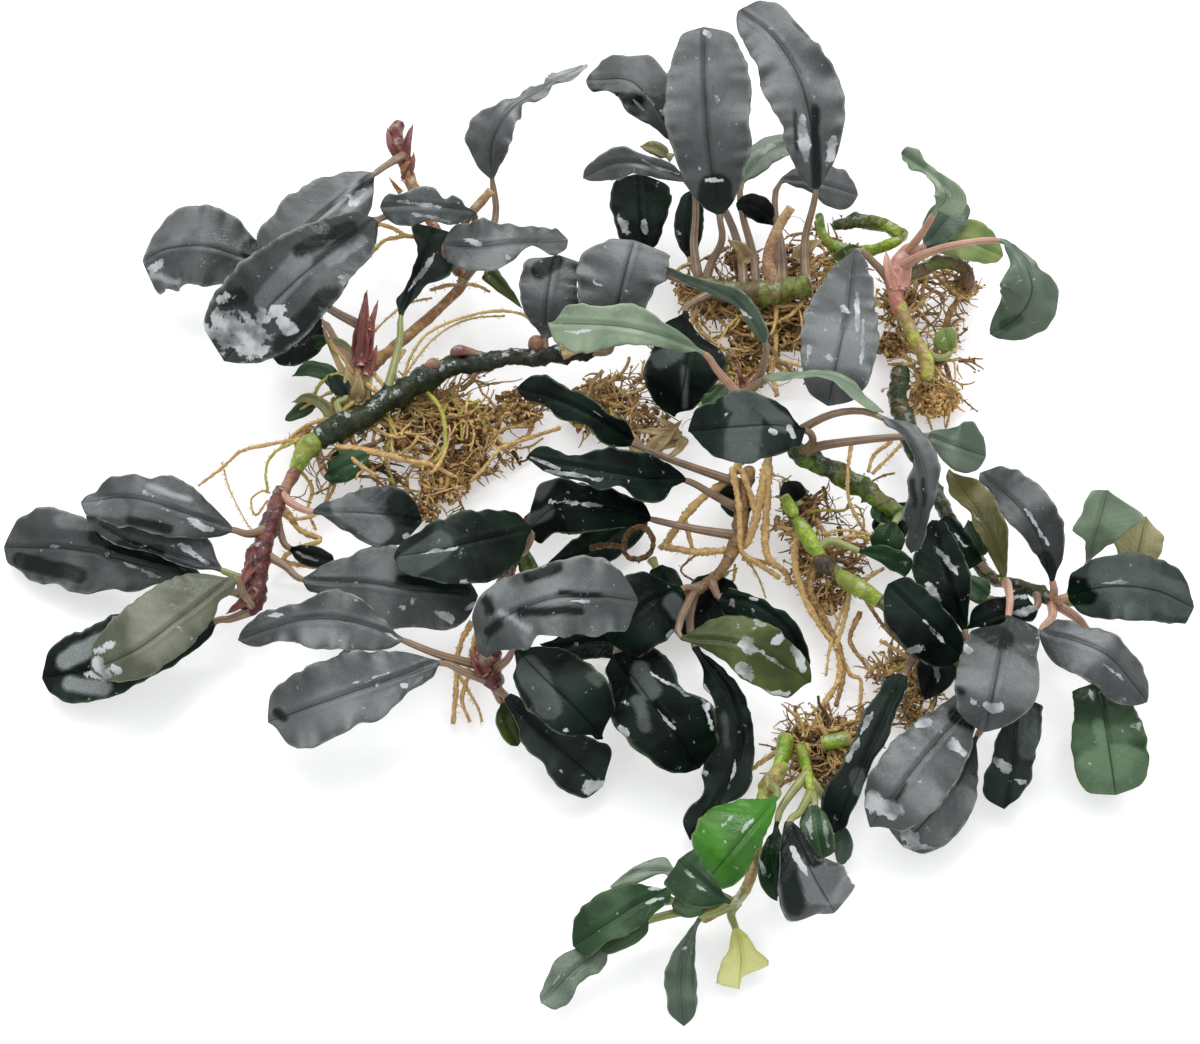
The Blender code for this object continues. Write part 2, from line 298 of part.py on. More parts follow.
# A stem's row: its courses, each place as (pixel across, pixel down, mm up, mm radius). The
# first course is the main one, and the others branch from it.
STEMS = {
    "rhizome_left": ((0.030, 0.050, 0.020), [
        [(598, 350, 12, 1.3), (560, 354, 12, 1.5), (520, 357, 12, 1.6), (480, 362, 12, 1.6),
         (450, 368, 11.5, 1.8), (420, 381, 11, 2.1), (390, 399, 10.5, 2.0), (360, 418, 10, 2.2),
         (330, 432, 9.5, 2.3), (312, 443, 9, 2.0), (302, 457, 8.5, 1.8), (289, 475, 8, 1.6)]]),
    "stem_lower_left": ((0.120, 0.030, 0.030), [
        [(283, 488, 8, 1.4), (275, 510, 9, 1.5), (267, 532, 9, 1.7), (258, 560, 9, 2.2),
         (254, 582, 8.5, 2.2), (254, 600, 8, 1.7), (247, 616, 7, 1.0)]]),
    "runner_upper_left": ((0.260, 0.110, 0.050), [
        [(399, 121, 14, 1.1), (396, 140, 14, 1.6), (404, 160, 13.5, 1.5), (412, 185, 12.5, 1.3),
         (428, 216, 11, 1.1), (448, 252, 10, 1.0), (463, 281, 9, 1.0), (436, 311, 8.5, 1.0),
         (405, 338, 8.5, 1.1), (381, 358, 9, 1.3), (362, 374, 9.5, 1.7), (356, 388, 9.5, 1.6)],
        [(360, 374, 9.5, 1.3), (361, 350, 12, 1.3), (364, 320, 14, 1.5), (366, 289, 16, 0.5)]]),
    "rhizome_back": ((0.160, 0.150, 0.030), [
        [(694, 281, 11, 1.5), (716, 291, 11.5, 1.9), (750, 293, 12, 2.2), (785, 290, 12, 2.2),
         (811, 284, 12.5, 2.0)],
        [(776, 290, 12, 1.6), (768, 262, 14, 1.3), (776, 232, 17, 1.2), (791, 207, 20, 1.1)]]),
    "rhizome_mossy": ((0.120, 0.160, 0.020), [
        [(832, 226, 10, 1.2), (858, 221, 10.5, 1.8), (885, 226, 11, 1.6), (905, 238, 11, 1.5)],
        [(819, 213, 9.5, 0.7), (823, 236, 9.5, 0.9), (842, 249, 9.5, 1.3), (872, 250, 9.5, 1.4),
         (903, 238, 11, 1.2)]]),
    "stem_right_pink": ((0.520, 0.230, 0.120), [
        [(928, 381, 8, 1.3), (925, 355, 9, 1.6), (912, 335, 10, 1.7), (901, 310, 11, 1.8),
         (895, 285, 12.5, 2.2), (900, 263, 14, 2.2), (912, 247, 16, 1.3)],
        [(897, 282, 12.7, 1.3), (920, 270, 11.5, 1.4), (945, 262, 11, 1.5), (966, 270, 10, 1.4),
         (968, 290, 9, 1.2)]]),
    "rhizome_right": ((0.030, 0.060, 0.020), [
        [(903, 366, 7.5, 1.5), (897, 393, 7, 1.8), (906, 425, 6.5, 1.8), (925, 470, 6, 1.6),
         (955, 530, 5.5, 1.4), (985, 571, 7, 1.2), (1006, 583, 8.5, 1.1), (1030, 588, 9.5, 1.1),
         (1054, 602, 9.5, 1.2)]]),
    "rhizome_green_upper": ((0.150, 0.220, 0.020), [
        [(736, 394, 14, 1.5), (765, 421, 13, 1.7), (800, 452, 11.5, 1.9), (835, 472, 10.5, 2.0),
         (862, 488, 10, 2.0), (886, 505, 9.5, 1.9), (904, 519, 9, 1.5)]]),
    "rhizome_green_lower": ((0.330, 0.450, 0.030), [
        [(782, 496, 12, 1.3), (795, 520, 11.5, 1.7), (811, 544, 11, 1.7), (829, 566, 10.5, 1.8),
         (848, 582, 10, 1.8), (880, 602, 9.5, 1.6), (915, 630, 8, 1.4), (950, 655, 7, 1.4),
         (977, 682, 7, 1.3)]]),
    "rhizome_middle": ((0.200, 0.110, 0.040), [
        [(750, 466, 8, 1.4), (743, 500, 8, 1.7), (738, 538, 8, 1.7), (722, 570, 8, 1.6),
         (692, 594, 8.5, 1.4)]]),
    "stem_lower_middle": ((0.160, 0.050, 0.040), [
        [(590, 488, 5.5, 1.4), (560, 498, 5, 1.4), (532, 522, 5, 1.4), (514, 552, 6, 1.4),
         (505, 585, 7, 1.4), (495, 630, 8, 1.5), (490, 666, 8.5, 2.2), (497, 690, 7, 1.4)]]),
    "stem_bottom_sprig": ((0.300, 0.330, 0.060), [
        [(802, 742, 7, 1.8), (785, 762, 8, 1.9), (767, 790, 8.5, 1.7), (759, 830, 8, 1.3),
         (752, 870, 6.5, 1.2), (742, 895, 6, 1.0), (734, 905, 5.2, 0.8)],
        [(800, 744, 7.5, 1.5), (807, 770, 9, 1.2), (812, 797, 10, 0.9)]]),
}

# A root mat's row: its outline on the table in the same view, and its height in mm.
ROOTS = {
    "root_mat_left": (6.0, [
        (306, 478), (330, 456), (380, 437), (425, 416), (470, 396), (520, 390), (562, 402),
        (552, 437), (520, 468), (498, 520), (450, 532), (400, 514), (345, 516), (304, 506)]),
    "root_mat_back": (7.0, [
        (688, 318), (730, 305), (780, 300), (832, 312), (842, 352), (812, 392), (770, 420),
        (705, 436), (640, 446), (590, 440), (566, 420), (592, 398), (650, 372), (678, 346)]),
    "root_mat_middle": (5.2, [
        (700, 492), (742, 480), (792, 490), (832, 518), (856, 560), (852, 606), (812, 618),
        (772, 606), (738, 600), (700, 582), (666, 566), (664, 544), (690, 518)]),
    "root_mat_right": (4.4, [
        (884, 322), (915, 298), (952, 298), (970, 330), (962, 372), (966, 420), (942, 450),
        (902, 450), (884, 422), (878, 372)]),
    "root_mat_lower_right": (3.4, [
        (868, 664), (904, 650), (940, 680), (946, 720), (912, 752), (893, 732), (882, 700)]),
    "root_mat_front": (4.2, [
        (768, 752), (796, 730), (822, 700), (826, 655), (816, 632), (852, 628), (862, 660),
        (858, 700), (866, 744), (852, 782), (806, 800), (776, 784)]),
}
# A root mat's levels from the table up: share of the height, and share of the outline's reach.
MAT_LEVELS = ((0.0, 0.92), (0.35, 1.0), (0.78, 0.82), (1.0, 0.5))
MAT_SIDES = 18


def spot(across, down, up):
    """The place `up` mm over the table that the view shows at the pixel (across, down), in mm."""
    sink, level = math.sin(VIEW_DOWN), math.cos(VIEW_DOWN)
    distance = LENS / PIXELS_A_MM
    right = (across - VIEW_MIDDLE[0]) / LENS
    rise = (VIEW_MIDDLE[1] - down) / LENS
    reach = (up - distance * sink) / (rise * level - sink)
    return np.array([
        right * reach - HOME[0],
        reach * (level + rise * sink) - distance * level - HOME[1],
        up,
    ])


def eye():
    """Where the view looks from, in mm."""
    distance = LENS / PIXELS_A_MM
    return np.array([
        -HOME[0], -distance * math.cos(VIEW_DOWN) - HOME[1], distance * math.sin(VIEW_DOWN)])


def unit(vectors):
    """The vectors at length one."""
    return vectors / np.linalg.norm(vectors, axis=-1, keepdims=True)


def smooth_course(points):
    """A smooth curve through the points, as COURSE_STEPS places to each stretch between two."""
    points = np.asarray(points, float)
    padded = np.vstack([2 * points[0] - points[1], points, 2 * points[-1] - points[-2]])
    t = np.linspace(0, 1, COURSE_STEPS, endpoint=False)[:, None]
    stretches = []
    for before, start, end, after in zip(padded, padded[1:], padded[2:], padded[3:]):
        stretches.append(0.5 * (
            2 * start + (end - before) * t + (2 * before - 5 * start + 4 * end - after) * t ** 2
            + (3 * start - before - 3 * end + after) * t ** 3))
    return np.vstack(stretches + [points[-1:]])


def lengths_along(course):
    """How far each place of a course lies from its start."""
    return np.concatenate([[0], np.cumsum(np.linalg.norm(np.diff(course[:, :3], axis=0), axis=1))])


def at_lengths(course, where):
    """The course's places at the given lengths from its start."""
    along = lengths_along(course)
    return np.stack([np.interp(where, along, column) for column in course.T], axis=1)


def stem_course(rows):
    """A stem's smooth course, as rows of x, y, z and radius in mm."""
    return smooth_course([[*spot(*row[:3]), row[3]] for row in rows])


def clear_of_stem(course, stem):
    """How many places at the course's start lie in the stem or nearer to it than the gap."""
    axes = np.vstack([stem_course(rows) for rows in STEMS[stem][1]])
    near = np.linalg.norm(course[:, None] - axes[None, :, :3], axis=2)
    room = (near - axes[None, :, 3]).min(axis=1)
    return int(np.argmax(room > GAP + STALK_FOOT / 2))


def half_width(leaf, share):
    """The blade's half width at a share of its length, in mm."""
    skew = share ** (math.log(0.5) / math.log(leaf.fullest))
    fullness = ROUND_BASE + (ROUND_TIP - ROUND_BASE) * share
    full = max(4 * skew * (1 - skew), 0.0) ** fullness * leaf.wide / 2
    return max(full, STALK_NECK if share < 0.5 else TIP_HALF_WIDTH)


def leaf_stations(leaf, fused):
    """A leaf's course and, ring by ring, its place, half width, half thickness and blade share."""
    points = [spot(*place) for place in leaf.stalk + leaf.blade]
    course = smooth_course(points)
    neck = lengths_along(course)[COURSE_STEPS * len(leaf.stalk)]
    start = 0.0 if fused else lengths_along(course)[clear_of_stem(course, leaf.stem)]
    total = lengths_along(course)[-1]
    stalk_rings = max(1, round((neck - start) / STALK_RING_EVERY))
    rings = []
    for i in range(stalk_rings):
        share = i / stalk_rings
        radius = STALK_FOOT + (STALK_NECK - STALK_FOOT) * share
        rings.append((start + (neck - start) * share, radius, radius, 0.0))
    for share in BLADE_RINGS:
        thick = BLADE_BASE + (BLADE_TIP - BLADE_BASE) * share
        rings.append((neck + (total - neck) * share, half_width(leaf, share), thick, share))
    return course, np.array(rings)


def leaf_frame(course, where, leaf, shares):
    """Places, directions across and directions up from the blade at lengths along a course."""
    places = at_lengths(course, where)
    reach = lengths_along(course)[-1]
    ahead = at_lengths(course, np.minimum(where + SIGHT, reach))
    behind = at_lengths(course, np.maximum(where - SIGHT, 0))
    along = unit(ahead - behind)
    facing = unit(unit(eye() - places) + np.array([0, 0, 1.0]))
    up = unit(facing - (facing * along).sum(axis=1, keepdims=True) * along)
    across = np.cross(along, up)
    turn = np.radians(leaf.turn[0] + (leaf.turn[1] - leaf.turn[0]) * shares)[:, None]
    return places, np.cos(turn) * across + np.sin(turn) * up, np.cos(turn) * up - np.sin(turn) * across


def leaf_rings(leaf, fused):
    """The corners of the leaf's rings, one row of points to a ring, in mm."""
    course, rings = leaf_stations(leaf, fused)
    corner_shares = SMALL_RING if fused else LARGE_RING
    places, across, up = leaf_frame(course, rings[:, 0], leaf, rings[:, 3])
    rise = math.tan(math.radians(leaf.fold))
    corners = []
    for place, side, normal, (_, wide, thick, _) in zip(places, across, up, rings):
        corners.append([
            place + side * wide * x + normal * (thick * y + rise * (wide - thick) * (abs(x) - 0.5))
            for x, y in corner_shares])
    return np.array(corners)


def loft(rings):
    """A closed mesh through rings of equal count, capped at both ends, from points in mm."""
    mesh = bpy.data.meshes.new("loft")
    bm = bmesh.new()
    rows = [[bm.verts.new(point * MM) for point in ring] for ring in rings]
    sides = len(rows[0])
    for low, high in zip(rows, rows[1:]):
        for i in range(sides):
            j = (i + 1) % sides
            bm.faces.new((low[i], low[j], high[j], high[i]))
    bm.faces.new(rows[0][::-1])
    bm.faces.new(rows[-1])
    bmesh.ops.recalc_face_normals(bm, faces=bm.faces)
    bm.to_mesh(mesh)
    bm.free()
    return mesh


def tube(name, rows):
    """A stem's course as a round tube with closed ends, made a mesh and welded."""
    course = stem_course(rows)
    total = lengths_along(course)[-1]
    count = max(3, round(total / TUBE_RING_EVERY))
    points = at_lengths(course, np.linspace(0, total, count))
    curve = bpy.data.curves.new(name, "CURVE")
    curve.dimensions = "3D"
    curve.bevel_depth = MM
    curve.bevel_resolution = 1
    curve.use_fill_caps = True
    spline = curve.splines.new("POLY")
    spline.points.add(count - 1)
    for point, (x, y, z, radius) in zip(spline.points, points):
        point.co = (x * MM, y * MM, z * MM, 1)
        point.radius = radius
    guide = bpy.data.objects.new(name, curve)
    bpy.context.scene.collection.objects.link(guide)
    graph = bpy.context.evaluated_depsgraph_get()
    mesh = bpy.data.meshes.new_from_object(guide.evaluated_get(graph))
    bpy.data.objects.remove(guide)
    bm = bmesh.new()
    bm.from_mesh(mesh)
    bmesh.ops.remove_doubles(bm, verts=bm.verts, dist=WELD)
    bmesh.ops.recalc_face_normals(bm, faces=bm.faces)
    bm.to_mesh(mesh)
    bm.free()
    return mesh


def mat_rings(height, outline):
    """A root mat's levels: a lumpy outline on the table that closes in towards its top."""
    around = np.array([spot(across, down, 0.0) for across, down in outline])
    closed = smooth_course(np.vstack([around, around[:1]]))
    total = lengths_along(closed)[-1]
    rim = at_lengths(closed, np.linspace(0, total, MAT_SIDES, endpoint=False))
    middle = rim.mean(axis=0)
    rings = []
    for level, (share, reach) in enumerate(MAT_LEVELS):
        ring = middle + (rim - middle) * reach
        for i, point in enumerate(ring):
            lump = math.sin(LUMP_ROUND * i + LUMP_UP * level) * LUMP
            point[:2] += (rim[i] - middle)[:2] * lump * (share > 0)
            point[2] = height * share * (1 + lump * (share < 1))
        rings.append(ring)
    return np.array(rings)


def material(name, colour, roughness):
    """A material of one colour, given as linear red, green and blue."""
    made = bpy.data.materials.new(name)
    made.use_nodes = True
    shader = made.node_tree.nodes["Principled BSDF"]
    shader.inputs["Base Color"].default_value = (*colour, 1)
    shader.inputs["Roughness"].default_value = roughness
    shader.inputs["Metallic"].default_value = 0.0
    return made


def place_object(name, mesh, collection, look):
    """An object of one mesh and one material, smoothly shaded."""
    thing = bpy.data.objects.new(name, mesh)
    collection.objects.link(thing)
    mesh.materials.clear()
    mesh.materials.append(look)
    mesh.shade_smooth()
    return thing


def join_to(base, name, mesh, helpers, look):
    """Joins a mesh to an object with a Boolean, from a hidden helper."""
    helper = place_object(name, mesh, helpers, look)
    helper.hide_render = True
    helper.display_type = "WIRE"
    join = base.modifiers.new(name, "BOOLEAN")
    join.operation = "UNION"
    join.solver = "EXACT"
    join.material_mode = "TRANSFER"
    join.object = helper


def build_leaves(parts, looks, first_small):
    """The large leaves, each a piece of its own that stops short of its stem."""
    for leaf in LEAVES[:first_small]:
        place_object(leaf.name, loft(leaf_rings(leaf, False)), parts, looks[leaf.look])


def build_stems(parts, helpers, looks, first_small):
    """The stems, each one piece with its branches and the small leaves that grow on it."""
    for name, (colour, courses) in STEMS.items():
        look = material(name, colour, 0.35)
        stem = place_object(name, tube(name, courses[0]), parts, look)
        for i, rows in enumerate(courses[1:]):
            join_to(stem, f"{name}_branch_{i}", tube(name, rows), helpers, look)
        for leaf in LEAVES[first_small:]:
            if leaf.stem == name:
                join_to(stem, leaf.name, loft(leaf_rings(leaf, True)), helpers, looks[leaf.look])


def build_roots(parts):
    """The root mats, as lumpy pads with flat undersides that the clump rests on."""
    look = material("roots", ROOT_BROWN, 0.7)
    for name, (height, outline) in ROOTS.items():
        place_object(name, loft(mat_rings(height, outline)), parts, look)


def main():
    """Clears the scene and builds the clump."""
    for thing in list(bpy.data.objects):
        bpy.data.objects.remove(thing)
    parts = bpy.data.collections.new("bucephalandra")
    helpers = bpy.data.collections.new("helpers")
    for collection in (parts, helpers):
        bpy.context.scene.collection.children.link(collection)
    looks = {name: material(f"leaf_{name}", colour, 0.25) for name, colour in LOOKS.items()}
    first_small = [leaf.name for leaf in LEAVES].index("small_leaf_upper_left_1")
    build_leaves(parts, looks, first_small)
    build_stems(parts, helpers, looks, first_small)
    build_roots(parts)


main()
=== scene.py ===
# %% [markdown]
# # A clump of bucephalandra
# Bucephalandra is a small aquarium plant. Thick stems, called rhizomes, creep over stone and
# wood, carry glossy leaves on short stalks, and hold on with fine brown roots.
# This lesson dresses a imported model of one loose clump. Every leaf, stem and root is built again
# here as a fine mesh, in the same place as the plain solid that it stands for.

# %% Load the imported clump
import math
import random
from collections import namedtuple

import bmesh
import bpy
import numpy as np
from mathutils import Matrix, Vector, noise


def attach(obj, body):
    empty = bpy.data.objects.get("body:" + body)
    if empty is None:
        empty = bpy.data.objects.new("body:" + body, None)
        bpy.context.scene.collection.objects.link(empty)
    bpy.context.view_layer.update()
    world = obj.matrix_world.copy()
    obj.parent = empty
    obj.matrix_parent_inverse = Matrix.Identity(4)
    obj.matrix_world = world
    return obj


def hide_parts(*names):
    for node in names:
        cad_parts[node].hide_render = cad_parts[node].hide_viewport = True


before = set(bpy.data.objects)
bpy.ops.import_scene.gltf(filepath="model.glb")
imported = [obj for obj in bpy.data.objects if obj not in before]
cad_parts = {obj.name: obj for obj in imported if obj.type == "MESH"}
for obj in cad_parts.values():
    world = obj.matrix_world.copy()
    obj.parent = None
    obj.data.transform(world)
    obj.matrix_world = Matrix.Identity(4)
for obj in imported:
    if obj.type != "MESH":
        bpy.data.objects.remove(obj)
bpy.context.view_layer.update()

MM = 0.001

# %% [markdown]
# ## Where the clump is seen from
# The clump lies on a table and is seen from the front, 58 degrees down. Every piece below is
# given by where it shows in that view, as pixels across and down, and by its height over the
# table in millimetres. `spot` turns such a row into a place. It could be done with a modelled
# grid or by eye, but one formula keeps all the pieces in step with each other.

# %% The view and its places
VIEW_DOWN = math.radians(58)
VIEW_MIDDLE = (600, 522)
PIXELS_A_MM = 6.0
LENS = 3333.0
HOME = (23.0, -4.0)
SINK, LEVEL = math.sin(VIEW_DOWN), math.cos(VIEW_DOWN)
AWAY = LENS / PIXELS_A_MM
EYE = np.array([-HOME[0], -AWAY * LEVEL - HOME[1], AWAY * SINK])


def spot(across, down, up):
    """The place `up` mm over the table that shows at the pixel (across, down), in mm."""
    right = (across - VIEW_MIDDLE[0]) / LENS
    rise = (VIEW_MIDDLE[1] - down) / LENS
    reach = (up - EYE[2]) / (rise * LEVEL - SINK)
    return np.array([EYE[0] + right * reach, EYE[1] + reach * (LEVEL + rise * SINK), up])


def seen(points):
    """The pixels across and down at which places in mm show."""
    gap = points - EYE
    depth = gap[..., 1] * LEVEL - gap[..., 2] * SINK
    rise = gap[..., 1] * SINK + gap[..., 2] * LEVEL
    return VIEW_MIDDLE[0] + LENS * gap[..., 0] / depth, VIEW_MIDDLE[1] - LENS * rise / depth


print("the view's middle on the table:", spot(*VIEW_MIDDLE, 0).round(1), "mm")

# %% [markdown]
# The camera stands at the eye of that view. Its lens is given in pixels here, so it is turned
# into millimetres on a film of the usual width.

# %% The camera
FILM_WIDTH = 36.0
PICTURE_WIDTH = 1200
NEAREST = 0.02

camera = bpy.data.objects.new("camera", bpy.data.cameras.new("camera"))
bpy.context.scene.collection.objects.link(camera)
camera.location = EYE * MM
camera.rotation_euler = (math.pi / 2 - VIEW_DOWN, 0, 0)
camera.data.sensor_width = FILM_WIDTH
camera.data.lens = LENS * FILM_WIDTH / PICTURE_WIDTH
camera.data.clip_start = NEAREST
bpy.context.scene.camera = camera
print("camera at", [round(v, 3) for v in camera.location], "lens", round(camera.data.lens, 1))

# %% [markdown]
# ## Rows of numbers
# A hundred leaves and roots are a lot of numbers. Lists with brackets would do, but plain text
# is easier to read and to change: spaces between numbers, and commas between places.

# %% Reading numbers
def numbers(text):
    """The numbers in a text, whole ones as whole numbers."""
    return tuple(float(word) if "." in word else int(word) for word in text.split())


def rows_of(text):
    """The rows of numbers in a text with commas between them."""
    return [numbers(row) for row in text.split(",")]


print("two places:", rows_of("361 326 13.5, 330 309 11.5"))

# %% [markdown]
# ## The table and the light
# The table is matt white and fades out into a white room. One wide soft light hangs behind and
# above the clump, and a small one beside it adds sharper highlights. The leaves mirror them only
# a little: the grey of the leaves that face the light is mostly a painted sheen in their colour,
# and the rest stay nearly black. A pale world fills in the shadows.

# %% Table, softbox and pale room
TABLE_SIZE = 6.0
TABLE_GLOW = 0.40
ROOM_COLOUR = (0.97, 0.98, 1.0, 1)
ROOM_STRENGTH = 1.12


def plain(name, colour, roughness):
    """A material of one colour, for the stage."""
    made = bpy.data.materials.new(name)
    made.use_nodes = True
    shader = made.node_tree.nodes["Principled BSDF"]
    shader.inputs["Base Color"].default_value = (*colour, 1)
    shader.inputs["Roughness"].default_value = roughness
    shader.inputs["Emission Color"].default_value = (1, 1, 1, 1)
    shader.inputs["Emission Strength"].default_value = TABLE_GLOW
    return made


def softbox(name, place, aim, size, power):
    """A square soft light at a place, aimed at a point, in metres and watts."""
    light = bpy.data.lights.new(name, "AREA")
    light.size = size
    light.energy = power
    lamp = bpy.data.objects.new(name, light)
    bpy.context.scene.collection.objects.link(lamp)
    lamp.location = place
    lamp.rotation_euler = (Vector(aim) - Vector(place)).to_track_quat("-Z", "Y").to_euler()


table_mesh = bpy.data.meshes.new("table")
half = TABLE_SIZE / 2
corners = [(-half, -half, 0), (half, -half, 0), (half, half, 0), (-half, half, 0)]
table_mesh.from_pydata(corners, [], [(0, 1, 2, 3)])
table_mesh.materials.append(plain("white_table", (0.64, 0.64, 0.65), 0.6))
table = bpy.data.objects.new("table", table_mesh)
bpy.context.scene.collection.objects.link(table)

softbox("softbox_back", (-0.12, 0.55, 0.95), (-0.02, 0, 0), 0.9, 6.0)
softbox("window", (0.30, 0.62, 0.75), (0, 0, 0), 0.16, 2.0)
room = bpy.data.worlds.new("room")
bpy.context.scene.world = room
room.use_nodes = True
room.node_tree.nodes["Background"].inputs["Color"].default_value = ROOM_COLOUR
room.node_tree.nodes["Background"].inputs["Strength"].default_value = ROOM_STRENGTH
bpy.context.scene.view_settings.view_transform = "Standard"

# %% [markdown]
# ## Smooth courses
# A stalk, a blade's midrib, a stem and a root all follow a course: a smooth line through a few
# places. A Catmull-Rom curve passes through every place it is given, which suits places that
# were measured.

# %% Courses and lengths
COURSE_STEPS = 12


def unit(vectors):
    """The vectors at length one."""
    return vectors / np.maximum(np.linalg.norm(vectors, axis=-1, keepdims=True), 1e-9)


def smooth_course(points):
    """A smooth curve through the points, as COURSE_STEPS places to each stretch."""
    points = np.asarray(points, float)
    padded = np.vstack([2 * points[0] - points[1], points, 2 * points[-1] - points[-2]])
    t = np.linspace(0, 1, COURSE_STEPS, endpoint=False)[:, None]
    stretches = []
    for before, start, end, after in zip(padded, padded[1:], padded[2:], padded[3:]):
        stretches.append(0.5 * (
            2 * start + (end - before) * t + (2 * before - 5 * start + 4 * end - after) * t ** 2
            + (3 * start - before - 3 * end + after) * t ** 3))
    return np.vstack(stretches + [points[-1:]])


def lengths_along(course):
    """How far each place of a course lies from its start."""
    return np.concatenate([[0], np.cumsum(np.linalg.norm(np.diff(course[:, :3], axis=0), axis=1))])


def at_lengths(course, where):
    """The course's places at the given lengths from its start."""
    along = lengths_along(course)
    return np.stack([np.interp(where, along, column) for column in course.T], axis=1)


print("a course through 4 places has", len(smooth_course([(0, 0, 0)] * 4)), "places")

# %% [markdown]
# ## Pieces from rings
# Leaves and stems are skins over rows of points, called rings. `skin` joins ring to ring with
# four-sided faces and closes both ends. It also keeps a map of where each point lies on the
# piece, and a colour for each point that says how the finish changes over it. The mesh could be
# drawn by hand in the editor, but a hundred leaves ask for a rule.

# %% The skin builder
def with_ends(rows):
    """The rows' values in one list, and after it the middle of the first and the last row."""
    ends = [rows[0].mean(axis=0)[None], rows[-1].mean(axis=0)[None]]
    return np.vstack([rows.reshape(-1, rows.shape[-1]), *ends])


def put_in_scene(name, mesh, tones):
    """A smooth object of a mesh, with a tone kept at each of its points."""
    mesh.polygons.foreach_set("use_smooth", np.ones(len(mesh.polygons), bool))
    tone = mesh.color_attributes.new("tone", "FLOAT_COLOR", "POINT")
    tone.data.foreach_set("color", tones.astype(np.float32).reshape(-1))
    thing = bpy.data.objects.new(name, mesh)
    bpy.context.scene.collection.objects.link(thing)
    return thing


def skin(name, rings, places_on, tones, slots, finishes):
    """A closed mesh object through rings of points in mm.

    places_on holds each point's place along and across the piece, tones its finish, and slots
    the finish's number of each face, ring by ring."""
    count, sides = rings.shape[:2]
    ring, side = np.meshgrid(np.arange(count - 1), np.arange(sides), indexing="ij")
    here, after = ring * sides + side, ring * sides + (side + 1) % sides
    quads = np.stack([here, after, after + sides, here + sides], axis=-1)
    first, last, top = count * sides, count * sides + 1, (count - 1) * sides
    turn = np.arange(sides)
    start = np.stack([np.full(sides, first), (turn + 1) % sides, turn], axis=-1)
    end = np.stack([np.full(sides, last), top + turn, top + (turn + 1) % sides], axis=-1)
    mesh = bpy.data.meshes.new(name)
    faces = quads.reshape(-1, 4).tolist() + start.tolist() + end.tolist()
    mesh.from_pydata(with_ends(rings) * MM, [], faces)
    kinds = np.concatenate([slots.reshape(-1), slots[0], slots[-1]]).astype(np.int32)
    mesh.polygons.foreach_set("material_index", kinds)
    for finish in finishes:
        mesh.materials.append(finish)
    corner = np.empty(len(mesh.loops), np.int32)
    mesh.loops.foreach_get("vertex_index", corner)
    at = with_ends(places_on)[corner].astype(np.float32).reshape(-1)
    mesh.uv_layers.new(name="place").data.foreach_set("uv", at)
    thing = put_in_scene(name, mesh, with_ends(tones))
    mesh.update()
    return thing


def stands_for(thing, node):
    """The piece moves with the clump and is shown in place of the solid."""
    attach(thing, "root")
    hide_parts(node)
    return thing


print("a skin closes both of its ends round a middle point")
